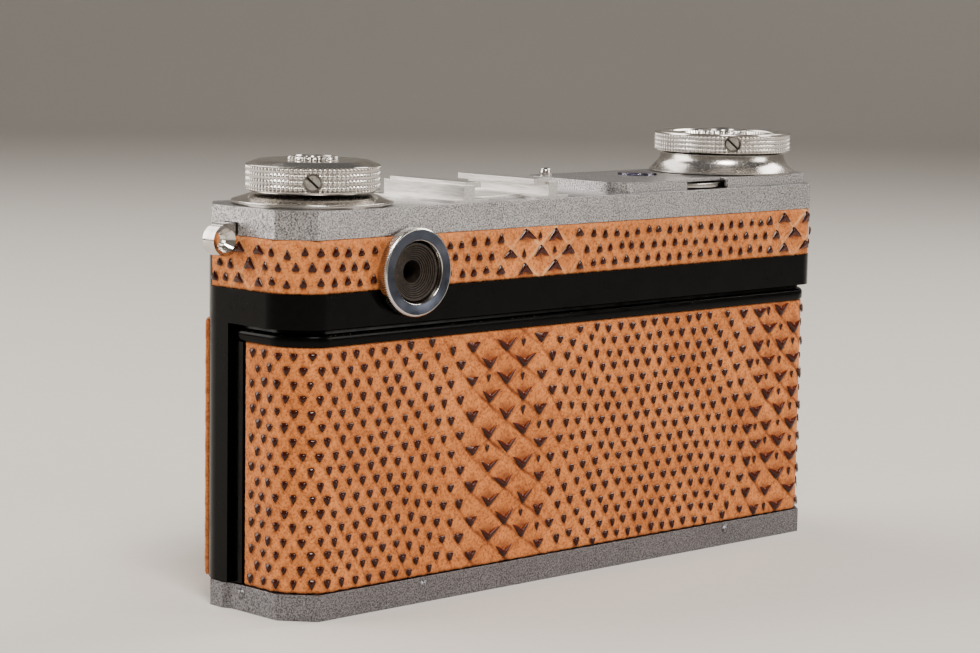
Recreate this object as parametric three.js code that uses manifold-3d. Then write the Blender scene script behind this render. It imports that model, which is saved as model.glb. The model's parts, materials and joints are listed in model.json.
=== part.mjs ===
// A 35 mm rangefinder camera, as an assembly of separate pieces. Millimetres, +Z up.
// The origin is the middle of the base plate's underside. The lens looks along -Y,
// the rear cover faces +Y, and the rewind knob is at +X.
import * as THREE from "three";
import { mergeVertices } from "three/addons/utils/BufferGeometryUtils.js";
import Module from "manifold-3d";

const wasm = await Module();
wasm.setup();

// Driving dimensions
const HALF_WIDTH = 68; // top and base plates, to the flat of the side
const HALF_DEPTH = 14;
const CORNER_X = 4.7; // legs of the chamfer at each corner
const CORNER_Y = 5.6;
const CASTING_PROUD = 0.4; // the casting stands this far outside the plates
const LEATHER = 0.8; // thickness of the covering
const PLATE_TOP = 4.5; // base plate's upper edge
const SEAM = 0.2; // gap between pieces that meet at an edge
const DOOR_TOP = 49.3;
const BAND_TOP = 55.4; // the bare black band ends and the upper covering begins
const COVER_BASE = 64.5;
const COVER_TOP = 69.3;
const DECK_TOP = 71.3;
const WALL = 1.6; // casting wall
const SHELL = 1.2; // pressed sheet: top cover, base plate, rear cover
const DOOR_EDGE_Y = -3; // where the rear cover's sides end
const DOOR_STEP = 0.8; // the rear cover and the rear of the base plate sit this far in
const SOFT = 2.2; // how far before a corner a formed sheet begins to bend
const RUN = 0.3; // clearance between pieces that move or that are cut to fit
const ROUND = 24; // facets in a turned piece

// Axes of the turned groups
const KNOB_X = 52.7;
const LENS = { x: 12, z: 27 };
const EYEPIECE = { x: 43.2, z: 58.3, hole: 5.9 };
const COUNTER = { x: -34.2, y: 3.4, radius: 9.6 };
const SPROCKET = { x: -33.6, y: 3.2 };
const SHOE = { low: 6.2, high: 29.3, front: -8, back: 13 };

const group = new THREE.Group();

// ---------- finishes ----------
const finish = (color, roughness, metalness) =>
  new THREE.MeshStandardMaterial({ color, roughness, metalness });
const satinChrome = finish(0xb9bcc0, 0.45, 1);
const polishedChrome = finish(0xd8dadd, 0.15, 1);
const blackEnamel = finish(0x121212, 0.25, 0);
const blackMetal = finish(0x1c1c1e, 0.6, 0.4);
const tanLeather = finish(0xc98552, 0.8, 0);
const opticalGlass = finish(0x9fb4c4, 0.05, 0);
const brass = finish(0xb08d4c, 0.35, 1);
const steel = finish(0x8d9094, 0.4, 1);

// ---------- solids ----------
// A closed three.js geometry as a solid that can be joined and cut.
function solid(geometry) {
  const bare = geometry.clone();
  bare.deleteAttribute("normal");
  bare.deleteAttribute("uv");
  const merged = mergeVertices(bare, 1e-4);
  return new wasm.Manifold(
    new wasm.Mesh({
      numProp: 3,
      vertProperties: new Float32Array(merged.attributes.position.array),
      triVerts: new Uint32Array(merged.index.array),
    }),
  );
}

// A solid as a named mesh in the camera.
function piece(name, shape, material) {
  const mesh = shape.getMesh();
  const geometry = new THREE.BufferGeometry();
  geometry.setAttribute("position", new THREE.BufferAttribute(mesh.vertProperties, 3));
  geometry.setIndex(new THREE.BufferAttribute(mesh.triVerts, 1));
  geometry.computeVertexNormals();
  const made = new THREE.Mesh(geometry, material);
  made.name = name;
  group.add(made);
  return made;
}

const join = (first, ...rest) => rest.reduce((whole, part) => whole.add(part), first);
const cut = (first, ...rest) => rest.reduce((whole, part) => whole.subtract(part), first);

// A block from its lowest to its highest corner.
function block([x0, y0, z0], [x1, y1, z1]) {
  const geometry = new THREE.BoxGeometry(x1 - x0, y1 - y0, z1 - z0);
  return solid(geometry.translate((x0 + x1) / 2, (y0 + y1) / 2, (z0 + z1) / 2));
}

// An outline in the XY plane raised from z0 to z1.
function prism(shape, z0, z1) {
  const geometry = new THREE.ExtrudeGeometry(shape, {
    depth: z1 - z0,
    bevelEnabled: false,
    curveSegments: 6,
  });
  return solid(geometry.translate(0, 0, z0));
}

// A profile of [radius, height] points, from the axis back to the axis, turned about Z.
function turned(points, x, y, facets = ROUND) {
  const profile = points.map(([r, z]) => new THREE.Vector2(r, z));
  const geometry = new THREE.LatheGeometry(profile, facets);
  return solid(geometry.rotateX(Math.PI / 2).translate(x, y, 0));
}

// A plain disc or post about Z.
const post = (x, y, radius, z0, z1, facets = ROUND) =>
  turned([[0, z0], [radius, z0], [radius, z1], [0, z1]], x, y, facets);

// A profile of [radius, forward] points turned about an axis along Y, forward towards -Y.
function turnedAlongY(points, x, z, facets = ROUND) {
  const profile = points.map(([r, forward]) => new THREE.Vector2(r, -forward));
  profile.reverse();
  return solid(new THREE.LatheGeometry(profile, facets).translate(x, 0, z));
}

// A plain disc or post about an axis along Y, between y0 and y1.
const postAlongY = (x, z, radius, y0, y1, facets = ROUND) =>
  turnedAlongY([[0, -y1], [radius, -y1], [radius, -y0], [0, -y0]], x, z, facets);

// ---------- outlines ----------
const STEP_Y = -3.4; // where the narrower rear half of the plan begins
const STEP_RUN = 1.6; // length of the slanted step up to it

// Carries an outline round one corner of the plan with no crease: it leaves the first flat `ease`
// before the chamfer, touches the middle of the chamfer, and joins the second flat `ease` past it.
function softCorner(shape, from, to, sharp, ease) {
  const away = (point) => {
    const run = [point[0] - sharp[0], point[1] - sharp[1]];
    const scale = ease / Math.hypot(...run);
    return [point[0] + run[0] * scale, point[1] + run[1] * scale];
  };
  shape.lineTo(...away(from));
  shape.quadraticCurveTo(...from, (from[0] + to[0]) / 2, (from[1] + to[1]) / 2);
  shape.quadraticCurveTo(...to, ...away(to));
}

// The camera's eight-sided plan, grown by `grow` on every side. The rear half may be drawn in by
// `inset`, as the base plate's is, and the corners may be eased into curves.
function plan({ grow = 0, inset = 0, ease = 0 } = {}) {
  const w = HALF_WIDTH + grow;
  const rear = w - inset;
  const d = HALF_DEPTH + grow;
  const legX = CORNER_X + grow * 0.45;
  const legY = CORNER_Y + grow * 0.45;
  const shape = new THREE.Shape();
  const corner = (sx, sy, half, fromSide) => {
    const onSide = [sx * half, sy * (d - legY)];
    const onFace = [sx * (half - legX), sy * d];
    const [from, to] = fromSide ? [onSide, onFace] : [onFace, onSide];
    if (!ease) {
      shape.lineTo(...from);
      shape.lineTo(...to);
      return;
    }
    softCorner(shape, from, to, [sx * half, sy * d], ease);
  };
  shape.moveTo(0, -d);
  corner(1, -1, w, false);
  if (inset) {
    shape.lineTo(w, STEP_Y - STEP_RUN);
    shape.lineTo(rear, STEP_Y);
  }
  corner(1, 1, rear, true);
  corner(-1, 1, rear, false);
  if (inset) {
    shape.lineTo(-rear, STEP_Y);
    shape.lineTo(-w, STEP_Y - STEP_RUN);
  }
  corner(-1, -1, w, true);
  shape.closePath();
  return shape;
}

const FAR = 100; // larger than the camera, for half-space cuts
const behind = (y, z0 = -1, z1 = FAR) => block([-FAR, y, z0], [FAR, FAR, z1]);
const inFront = (y, z0 = -1, z1 = FAR) => block([-FAR, -FAR, z0], [FAR, y, z1]);

const castingPlan = (grow) => plan({ grow: CASTING_PROUD + grow, ease: SOFT });
const coverPlan = (grow) => plan({ grow, inset: DOOR_STEP, ease: SOFT });

// ---------- body casting ----------
const LUG = { y0: -4.6, y1: -1.6, z0: 61, z1: 66.4, reach: 72.9, radius: 2.7, hole: 1.05, dish: 2.1 };
const CHAMBER_FLOOR = 6.2;
const DECK_FLOOR = DOOR_TOP + SEAM;

function lugClearance(side) {
  const x0 = side > 0 ? HALF_WIDTH - 3 : -HALF_WIDTH - 3;
  return block([x0, LUG.y0 - RUN, LUG.z0 - RUN], [x0 + 6, LUG.y1 + RUN, LUG.z1 + RUN]);
}

function bodyCasting() {
  const outer = prism(castingPlan(0), PLATE_TOP + SEAM, COVER_BASE);
  const doorSpace = behind(DOOR_EDGE_Y - RUN, 0, DECK_FLOOR);
  const finderSpace = prism(castingPlan(-WALL), DECK_FLOOR + WALL, FAR);
  const inner = prism(castingPlan(-WALL), CHAMBER_FLOOR, DOOR_TOP - WALL);
  const shell = cut(outer, doorSpace, finderSpace, inner);
  // Walls between the film chambers and the middle bay.
  const walls = [-26.6, 39.4].map((x) =>
    block([x, -HALF_DEPTH + 1, PLATE_TOP + SEAM], [x + 1.2, HALF_DEPTH - 5.6, DECK_FLOOR]),
  );
  // The upper covering lies in a recess round the sides and the back.
  const covering = cut(
    prism(castingPlan(1), BAND_TOP, COVER_BASE + 1),
    prism(castingPlan(0.1 - LEATHER), BAND_TOP - 1, COVER_BASE + 2),
    inFront(-HALF_DEPTH + CORNER_Y),
  );
  return cut(
    join(shell, ...walls),
    covering,
    postAlongY(LENS.x, LENS.z, 19, -HALF_DEPTH - 2, -HALF_DEPTH + 3),
    postAlongY(EYEPIECE.x, EYEPIECE.z, EYEPIECE.hole, 10, 20),
    block([EYEPIECE.x - 5.2, -20, 54.4], [EYEPIECE.x + 5.2, -10, 62.4]),
    postAlongY(-16, EYEPIECE.z, 3.4, -20, -10),
    post(KNOB_X, 0, 3.7, 40, 60, 20),
    post(-KNOB_X, 0, 3.4, 40, 60, 20),
    post(SPROCKET.x, SPROCKET.y, 2.6, 40, 60, 20),
  );
}
piece("body_casting", bodyCasting(), blackEnamel);

// ---------- top ----------
// The rewind side is the low part of the cover; the deck stands on its wind side.
function topCover() {
  return cut(
    prism(plan(), COVER_BASE, COVER_TOP),
    prism(plan({ grow: -SHELL }), COVER_BASE - 1, COVER_TOP - SHELL),
    lugClearance(1),
    lugClearance(-1),
    post(KNOB_X, 0, 4.4, 60, 80),
    post(-KNOB_X, 0, 4.4, 60, 80),
    post(COUNTER.x, COUNTER.y, 1.9, 60, 80),
    post(-13.6, -10, 1.6, 60, 80, 20),
  );
}
piece("top_cover", topCover(), satinChrome);

const DECK = { inset: 1, left: -9.6, corner: 5, roof: 0.6, wall: 0.8 };
const COUNTER_SLOT = { x0: -39.9, x1: -28.4 };
const COUNTER_WINDOW = { x: -30.6, y: -2, radius: 3.8 };

function deckPlan(grow) {
  const w = HALF_WIDTH - DECK.inset + grow;
  const d = HALF_DEPTH - DECK.inset + grow;
  const left = DECK.left + grow;
  const shape = new THREE.Shape();
  shape.moveTo(-w + CORNER_X, -d);
  shape.lineTo(left - DECK.corner, -d);
  shape.quadraticCurveTo(left, -d, left, -d + DECK.corner);
  shape.lineTo(left, d - DECK.corner);
  shape.quadraticCurveTo(left, d, left - DECK.corner, d);
  shape.lineTo(-w + CORNER_X, d);
  shape.lineTo(-w, d - CORNER_Y);
  shape.lineTo(-w, -d + CORNER_Y);
  shape.closePath();
  return shape;
}

function windDeck() {
  const rear = HALF_DEPTH - DECK.inset;
  return cut(
    prism(deckPlan(0), COVER_TOP, DECK_TOP),
    prism(deckPlan(-DECK.wall), COVER_TOP - 1, DECK_TOP - DECK.roof),
    block([COUNTER_SLOT.x0, rear - 1.6, COVER_TOP - 1], [COUNTER_SLOT.x1, rear + 1, DECK_TOP + 1]),
    post(-KNOB_X, 0, 4.4, 60, 80),
    post(COUNTER_WINDOW.x, COUNTER_WINDOW.y, 3.3, 60, 80, 28),
    post(-13.6, -10, 1.6, 60, 80, 20),
  );
}
piece("wind_deck", windDeck(), satinChrome);

piece(
  "counter_window",
  turned(
    [[0, 70.8], [3, 70.8], [3, DECK_TOP], [COUNTER_WINDOW.radius, DECK_TOP], [3.6, 71.7], [3, 71.7], [0, 71.9]],
    COUNTER_WINDOW.x,
    COUNTER_WINDOW.y,
    28,
  ),
  opticalGlass,
);

piece(
  "frame_counter_dial",
  join(
    post(COUNTER.x, COUNTER.y, COUNTER.radius, 69.6, 70.4, 40),
    post(COUNTER.x, COUNTER.y, 1.6, 66.5, 70.4, 20),
  ),
  polishedChrome,
);

// Accessory shoe: a base plate with two rails whose lips overhang the channel.
function accessoryShoe() {
  const floor = COVER_TOP + 0.5;
  const base = cut(
    block([SHOE.low - 2.7, SHOE.front, COVER_TOP], [SHOE.high + 2.4, SHOE.back, floor]),
    block([12, SHOE.back - 3, COVER_TOP - 1], [23.6, SHOE.back + 1, floor + 1]),
  );
  const rails = [
    block([SHOE.high - 2.6, SHOE.front, COVER_TOP], [SHOE.high, SHOE.back, 72.3]),
    block([24.7, SHOE.front + 0.6, 71.8], [SHOE.high - 0.9, SHOE.back - 0.6, 72.8]),
    block([SHOE.low, SHOE.front, COVER_TOP], [SHOE.low + 2.3, SHOE.back, 72.3]),
    block([SHOE.low + 0.9, SHOE.front + 0.6, 71.8], [11.7, SHOE.back - 0.6, 72.8]),
  ];
  // A slim leaf on the floor, clear of the lips above it.
  const leaf = block([12, SHOE.front + 0.5, COVER_TOP], [24.4, SHOE.back - 3.5, floor + 0.1]);
  return join(base, leaf, ...rails);
}
piece("accessory_shoe", accessoryShoe(), satinChrome);

// ---------- strap lugs ----------
function strapLug(side) {
  const eyeX = LUG.reach - LUG.radius;
  const eyeZ = (LUG.z0 + LUG.z1) / 2;
  const shape = join(
    postAlongY(eyeX, eyeZ, LUG.radius, LUG.y0, LUG.y1, 40),
    block([HALF_WIDTH, LUG.y0, eyeZ], [eyeX, LUG.y1, LUG.z1]),
  );
  const hole = postAlongY(eyeX, eyeZ, LUG.hole, LUG.y0 - 1, LUG.y1 + 1, 24);
  // The eye is countersunk towards the back.
  const dish = turnedAlongY([[0, 1.5], [LUG.dish, 1.5], [LUG.hole, 3.1], [0, 3.1]], eyeX, eyeZ, 40);
  const eye = cut(shape, hole, dish, block([0, -FAR, 0], [HALF_WIDTH, FAR, FAR]));
  return side > 0 ? eye : eye.mirror([1, 0, 0]);
}
piece("strap_lug_rewind_side", strapLug(1), polishedChrome);
piece("strap_lug_wind_side", strapLug(-1), polishedChrome);

// ---------- covering ----------
// Upper strip, round both sides and the back.
function upperLeather() {
  return cut(
    prism(castingPlan(0.15), BAND_TOP, COVER_BASE - 0.1),
    prism(castingPlan(0.15 - LEATHER), BAND_TOP - 1, COVER_BASE + 1),
    inFront(-HALF_DEPTH + CORNER_Y + 0.1),
    lugClearance(1),
    lugClearance(-1),
    postAlongY(EYEPIECE.x, EYEPIECE.z, EYEPIECE.hole, 10, 20),
  );
}
piece("upper_leather", upperLeather(), tanLeather);

// Front panels, one on each side of the lens mount, out to the front corners.
const FRONT_LEATHER_END = -10.2;
function frontLeather(side) {
  const panel = cut(
    prism(castingPlan(LEATHER), PLATE_TOP + SEAM, DOOR_TOP),
    prism(castingPlan(0.02), 0, FAR),
    behind(FRONT_LEATHER_END),
    postAlongY(LENS.x, LENS.z, 24.8, -20, -10, 40),
  );
  const other = side > 0 ? [[-FAR, -FAR, -1], [LENS.x, FAR, FAR]] : [[LENS.x, -FAR, -1], [FAR, FAR, FAR]];
  return cut(panel, block(...other));
}
piece("front_leather_rewind_side", frontLeather(1), tanLeather);
piece("front_leather_wind_side", frontLeather(-1), tanLeather);

// ---------- rear cover ----------
const BEAD = 46.5; // the covering ends here and the cover's rounded upper edge begins
const LEATHER_EDGE_Y = DOOR_EDGE_Y + 2.4;

function rearCover() {
  const panel = prism(coverPlan(-LEATHER), PLATE_TOP + SEAM, DOOR_TOP);
  const bead = prism(coverPlan(0), BEAD, DOOR_TOP - 0.8);
  const border = cut(
    prism(coverPlan(0), PLATE_TOP + SEAM, BEAD),
    behind(LEATHER_EDGE_Y - SEAM),
  );
  return cut(
    join(panel, bead, border),
    prism(coverPlan(-LEATHER - SHELL), 0, FAR),
    inFront(DOOR_EDGE_Y),
  );
}
piece("rear_cover", rearCover(), blackEnamel);

piece(
  "rear_leather",
  cut(
    prism(coverPlan(0), PLATE_TOP + SEAM, BEAD - 0.05),
    prism(coverPlan(-LEATHER + 0.02), 0, FAR),
    inFront(LEATHER_EDGE_Y),
  ),
  tanLeather,
);

// ---------- base plate ----------
const KEY = { radius: 8, collar: 9.2 };
const BUSH = { outer: 5.4, thread: 3.2 };
const RIVET = { radius: 0.95, height: 0.6, z: 3.1 };

// A round rivet head, standing on a wall that faces along `turn` (radians from +X).
function rivet(x, y, turn) {
  const profile = [[0, -0.3], [RIVET.radius, -0.3], [RIVET.radius, 0.1], [0.65, 0.45], [0, RIVET.height]];
  const geometry = new THREE.LatheGeometry(profile.map(([r, h]) => new THREE.Vector2(r, h)), 10);
  return solid(geometry.rotateZ(turn - Math.PI / 2).translate(x, y, RIVET.z));
}

function basePlate() {
  const tray = cut(
    prism(plan({ inset: DOOR_STEP }), 0, PLATE_TOP),
    prism(plan({ grow: -SHELL, inset: DOOR_STEP }), SHELL, FAR),
    post(KNOB_X, 0, KEY.radius + RUN, -1, 5),
    post(-KNOB_X, 0, KEY.radius + RUN, -1, 5),
    post(LENS.x, 0, BUSH.outer, -1, 5, 32),
  );
  const side = HALF_WIDTH - DOOR_STEP;
  return join(
    tray,
    rivet(38.6, HALF_DEPTH, Math.PI / 2),
    rivet(-40.7, HALF_DEPTH, Math.PI / 2),
    rivet(side, -1, 0),
    rivet(-side, -1, Math.PI),
  );
}
piece("base_plate", basePlate(), satinChrome);

piece(
  "tripod_bush",
  turned(
    [
      [BUSH.thread, 0],
      [BUSH.outer - 0.3, 0],
      [BUSH.outer - 0.3, SHELL + 0.1],
      [BUSH.outer + 1.2, SHELL + 0.1],
      [BUSH.outer + 1.2, 4],
      [BUSH.thread, 4],
      [BUSH.thread, 0],
    ],
    LENS.x,
    0,
    32,
  ),
  steel,
);

// A turn key: a disc in the base plate with a finger bar below and a latch arm above.
function lockKey(x) {
  const dished = cut(
    post(x, 0, KEY.radius, 0.2, 1.5),
    post(x, 0, KEY.radius - 1, -1, 0.9),
  );
  return join(
    dished,
    post(x, 0, KEY.collar, SHELL + 0.3, 2.2),
    block([x - KEY.radius + 0.6, -1.1, 0.2], [x + KEY.radius - 0.6, 1.1, 1]),
    post(x, 0, 2.4, 2, 4, 24),
    block([x - 1.6, -10.2, 2.6], [x + 1.6, 2, 3.8]),
  );
}
piece("lock_key_rewind_side", lockKey(KNOB_X), polishedChrome);
piece("lock_key_wind_side", lockKey(-KNOB_X), polishedChrome);

// ---------- rewind group ----------
piece(
  "rewind_flange",
  turned(
    [
      [4.6, COVER_TOP],
      [14, COVER_TOP],
      [14, COVER_TOP + 0.7],
      [11.2, 71.1],
      [4.6, 71.1],
      [4.6, COVER_TOP],
    ],
    KNOB_X,
    0,
  ),
  polishedChrome,
);
piece(
  "rewind_sleeve",
  turned([[2.8, 64.4], [4.1, 64.4], [4.1, 71.3], [2.8, 71.3], [2.8, 64.4]], KNOB_X, 0, 24),
  brass,
);

const REWIND_KNOB = { radius: 11.65, foot: 71.5, knurl0: 72, knurl1: 76, top: 76.9, cap: 9.6, nut: 77.5 };
const SCREW = { radius: 1.35, depth: 2.4 };

// A slotted grub screw let into the knob's rim, and the hole that takes it.
const GRUB = {
  rewind: { x: KNOB_X, bearing: 0.87, z: 73.6, reach: REWIND_KNOB.radius - 0.2 },
  wind: { x: -KNOB_X, bearing: 0.88, z: 77.4, reach: 13.15 },
};
function radialPost({ x, bearing, z }, radius, from, to) {
  const geometry = new THREE.CylinderGeometry(radius, radius, to - from, 16);
  geometry.rotateZ(-Math.PI / 2).translate((from + to) / 2, 0, 0);
  return solid(geometry.rotateZ(bearing).translate(x, 0, z));
}
const grubHole = (g) => radialPost(g, SCREW.radius + RUN, g.reach - SCREW.depth - RUN, g.reach + 1);
const grubScrew = (g) => radialPost(g, SCREW.radius, g.reach - SCREW.depth, g.reach);

function rewindKnob() {
  const k = REWIND_KNOB;
  const body = turned(
    [[2.8, k.foot], [11, k.foot], [11, k.knurl0], [k.radius, k.knurl0], [k.radius, k.knurl1],
     [k.cap, k.top], [2.8, k.top], [2.8, k.foot]],
    KNOB_X, 0,
  );
  return cut(body, grubHole(GRUB.rewind));
}
piece("rewind_knob", rewindKnob(), polishedChrome);
piece("rewind_grub_screw", grubScrew(GRUB.rewind), steel);
piece("rewind_knob_nut", post(KNOB_X, 0, 4.35, REWIND_KNOB.top, REWIND_KNOB.nut, 32), polishedChrome);

function rewindForkShaft() {
  const shaft = post(KNOB_X, 0, 2.5, 46, REWIND_KNOB.top, 24);
  const blades = block([KNOB_X - 3.2, -0.5, 42], [KNOB_X + 3.2, 0.5, 47]);
  return join(shaft, cut(blades, block([KNOB_X - 1, -2, 41], [KNOB_X + 1, 2, 44.5])));
}
piece("rewind_fork_shaft", rewindForkShaft(), steel);

// ---------- wind group ----------
// The speed dial is a flared collar round the foot of the wind knob.
function flare(z0, z1, r0, r1, steps) {
  return Array.from({ length: steps + 1 }, (_, i) => {
    const t = i / steps;
    return [r1 + (r0 - r1) * (1 - t) ** 2.2, z0 + (z1 - z0) * t];
  });
}
piece(
  "speed_dial",
  turned(
    [[4.6, DECK_TOP + 0.1], ...flare(DECK_TOP + 0.1, 75.2, 14.3, 12.1, 4), [4.6, 75.2], [4.6, DECK_TOP + 0.1]],
    -KNOB_X, 0,
  ),
  polishedChrome,
);

const WIND_KNOB = { radius: 13.37, foot: 75.4, knurl0: 75.6, top: 79.2, dish: 77.6, lip: 10.9 };
function windKnob() {
  const k = WIND_KNOB;
  const body = turned(
    [[3.3, k.foot], [12.6, k.foot], [k.radius, k.knurl0], [k.radius, k.top - 0.3], [k.radius - 0.3, k.top],
     [k.lip, k.top], [k.lip - 0.6, k.dish], [3.3, k.dish], [3.3, k.foot]],
    -KNOB_X, 0,
  );
  return cut(body, grubHole(GRUB.wind));
}
piece("wind_knob", windKnob(), polishedChrome);
piece("wind_grub_screw", grubScrew(GRUB.wind), steel);
piece(
  "wind_knob_nut",
  turned([[2.9, 77.7], [4.9, 77.7], [4.9, 79.5], [2.9, 79.5], [2.9, 77.7]], -KNOB_X, 0, 32),
  polishedChrome,
);

const GEAR = { module: 0.6796, wind: 33, sprocket: 24, z0: 52, z1: 54 };
// A spur gear with straight-flanked teeth, its first tooth or gap at `start`.
function gear(teeth, bore, x, y, start) {
  const pitch = (GEAR.module * teeth) / 2;
  const step = (2 * Math.PI) / teeth;
  const corners = [
    [pitch - 0.85 * GEAR.module, -0.27],
    [pitch + 0.6 * GEAR.module, -0.11],
    [pitch + 0.6 * GEAR.module, 0.11],
    [pitch - 0.85 * GEAR.module, 0.27],
  ];
  const outline = [];
  for (let i = 0; i < teeth; i++) {
    for (const [radius, share] of corners) {
      const angle = start + (i + share) * step;
      outline.push(new THREE.Vector2(radius * Math.cos(angle), radius * Math.sin(angle)));
    }
  }
  const blank = prism(new THREE.Shape(outline), GEAR.z0, GEAR.z1).translate([x, y, 0]);
  return cut(blank, post(x, y, bore, GEAR.z0 - 1, GEAR.z1 + 1, 24));
}
const GEAR_LINE = Math.atan2(SPROCKET.y, SPROCKET.x + KNOB_X);
piece("wind_gear", gear(GEAR.wind, 3.35, -KNOB_X, 0, GEAR_LINE), brass);
const SPROCKET_PHASE = GEAR_LINE + Math.PI + Math.PI / GEAR.sprocket;
piece("sprocket_gear", gear(GEAR.sprocket, 2.35, SPROCKET.x, SPROCKET.y, SPROCKET_PHASE), brass);

piece(
  "wind_shaft",
  turned([[1.7, 47], [3, 47], [3, 75.8], [1.7, 75.8], [1.7, 47]], -KNOB_X, 0, 20),
  steel,
);

const CHAMBER_TOP = 47;
piece(
  "take_up_spool",
  turned(
    [[0, 6.6], [11.4, 6.6], [11.4, 7.6], [4.8, 7.6], [4.8, 45.6], [11.4, 45.6], [11.4, 46.6], [0, 46.6]],
    -KNOB_X, 0, 32,
  ),
  blackMetal,
);

// Film sprocket: a drum with a crown of eight teeth at each end, on the gear's shaft.
function filmSprocket() {
  const drum = turned(
    [[0, 8], [5.6, 8], [5.6, 13], [4.4, 14], [4.4, 41], [5.6, 42], [5.6, CHAMBER_TOP - 0.4], [0, CHAMBER_TOP - 0.4]],
    SPROCKET.x, SPROCKET.y, 32,
  );
  const teeth = [];
  for (let i = 0; i < 8; i++) {
    for (const z of [11, 44]) {
      const tooth = new THREE.BoxGeometry(1.6, 1.1, 1.6).translate(5.8, 0, z);
      teeth.push(solid(tooth.rotateZ((i * Math.PI) / 4).translate(SPROCKET.x, SPROCKET.y, 0)));
    }
  }
  const shaft = post(SPROCKET.x, SPROCKET.y, 2.2, CHAMBER_TOP - 1, GEAR.z1 + 1, 20);
  return join(drum, shaft, ...teeth);
}
piece("film_sprocket", filmSprocket(), steel);

// ---------- buttons ----------
piece(
  "release_button",
  turned([[0, 66], [1.4, 66], [1.4, 77.9], [2.6, 77.9], [2.6, 79.6], [1.8, 79.9], [0, 80]], -KNOB_X, 0, 24),
  polishedChrome,
);
const REWIND_RELEASE = { x: -13.6, y: -10 };
piece(
  "rewind_release_button",
  turned(
    [[0, 69.8], [1.15, 69.8], [1.15, 71.9], [0.8, 72.5], [0, 72.8]],
    REWIND_RELEASE.x, REWIND_RELEASE.y, 20,
  ),
  polishedChrome,
);

// ---------- finder and rangefinder ----------
// Eyepiece: a knurled ring on a neck that passes through the rear wall.
piece(
  "eyepiece_ring",
  turnedAlongY(
    [[4.7, -16.9], [7.3, -16.9], [7.7, -16.5], [7.7, -14.8], [5.6, -14.8], [5.6, -11.6], [5, -11.6], [5, -15.6],
     [4.7, -15.9], [4.7, -16.9]],
    EYEPIECE.x, EYEPIECE.z,
  ),
  polishedChrome,
);
// Blackened cell with stepped rings that narrow towards a small window.
piece(
  "eyepiece_cell",
  turnedAlongY(
    [[4.8, -15.6], [4.8, -11.8], [2.2, -11.8], [2.2, -13.2], [2.9, -13.2], [2.9, -13.8], [3.5, -13.8],
     [3.5, -14.4], [4.1, -14.4], [4.1, -15], [4.5, -15.6], [4.8, -15.6]],
    EYEPIECE.x, EYEPIECE.z, 20,
  ),
  blackMetal,
);
piece("eyepiece_glass", postAlongY(EYEPIECE.x, EYEPIECE.z, 5, 10.4, 11.5, 32), opticalGlass);

const FINDER = { x0: 36.6, x1: 49, y0: -10.6, y1: 10.2, z0: 52.6, z1: 63.6 };
piece(
  "finder_tube",
  cut(
    block([FINDER.x0, FINDER.y0, FINDER.z0], [FINDER.x1, FINDER.y1, FINDER.z1]),
    block([FINDER.x0 + 1.4, -20, FINDER.z0 + 1.4], [FINDER.x1 - 1.4, 20, FINDER.z1 - 1.4]),
    block([0, -4.6, 54.6], [FINDER.x0 + 2, 1.4, 62]),
  ),
  blackMetal,
);
piece("beam_splitter", block([39, -3.8, 54.8], [47.4, 4.6, 61.8]), opticalGlass);

function rangefinderPrism() {
  const bar = block([-20, -4.2, 55.2], [36, 1, 61.4]);
  const slope = new THREE.Shape();
  slope.moveTo(-22, 2);
  slope.lineTo(-22, -5);
  slope.lineTo(-14.8, 2);
  slope.closePath();
  return cut(bar, prism(slope, 50, 70));
}
piece("rangefinder_prism", rangefinderPrism(), opticalGlass);

// Chrome plate across the front of the finder housing, with both windows in it.
const PLATE_FRONT = -HALF_DEPTH - CASTING_PROUD;
piece(
  "finder_faceplate",
  cut(
    block([-30, PLATE_FRONT - 0.7, 51], [58, PLATE_FRONT - 0.02, COVER_BASE - 0.2]),
    block([EYEPIECE.x - 5.2, -20, 54.4], [EYEPIECE.x + 5.2, -10, 62.4]),
    postAlongY(-16, EYEPIECE.z, 3.4, -20, -10),
    postAlongY(LENS.x, LENS.z, 24.8, -20, -10, 40),
  ),
  satinChrome,
);
piece(
  "finder_window",
  block([EYEPIECE.x - 5, PLATE_FRONT - 0.3, 54.6], [EYEPIECE.x + 5, PLATE_FRONT + 0.9, 62.2]),
  opticalGlass,
);
piece(
  "rangefinder_window",
  postAlongY(-16, EYEPIECE.z, 3.2, PLATE_FRONT - 0.3, PLATE_FRONT + 0.9, 28),
  opticalGlass,
);

// ---------- film gate, shutter and pressure plate ----------
const CRATE = { x0: -14, x1: 38, y0: -5, y1: 7.6, z0: 6.8, z1: 47.2 };
const GATE = { x0: LENS.x - 18, x1: LENS.x + 18, z0: LENS.z - 12, z1: LENS.z + 12 };
const DRUM = { y: 1.8, low: 11, high: 43.4, radius: 1.9 };

function shutterCrate() {
  const { x0, x1, y0, y1, z0, z1 } = CRATE;
  return cut(
    block([x0, y0, z0], [x1, y1, z1]),
    block([GATE.x0 - 0.5, -20, GATE.z0 - 0.5], [GATE.x1 + 0.5, 20, GATE.z1 + 0.5]),
    block([x0 + 2, y0 - 1, DRUM.low - 2.6], [x1 - 2, 5.8, DRUM.low + 2.6]),
    block([x0 + 2, y0 - 1, DRUM.high - 2.6], [x1 - 2, 5.8, DRUM.high + 2.6]),
    block([GATE.x0 - 2.6, 4.6, DRUM.low - 2.6], [GATE.x1 + 2.6, 5.8, DRUM.high + 2.6]),
  );
}
piece("shutter_crate", shutterCrate(), blackMetal);

function shutterDrum(z) {
  const geometry = new THREE.CylinderGeometry(DRUM.radius, DRUM.radius, 44, 20);
  return solid(geometry.rotateZ(Math.PI / 2).translate(LENS.x, DRUM.y, z));
}
piece("shutter_drum_upper", shutterDrum(DRUM.high), brass);
piece("shutter_drum_lower", shutterDrum(DRUM.low), brass);

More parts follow.
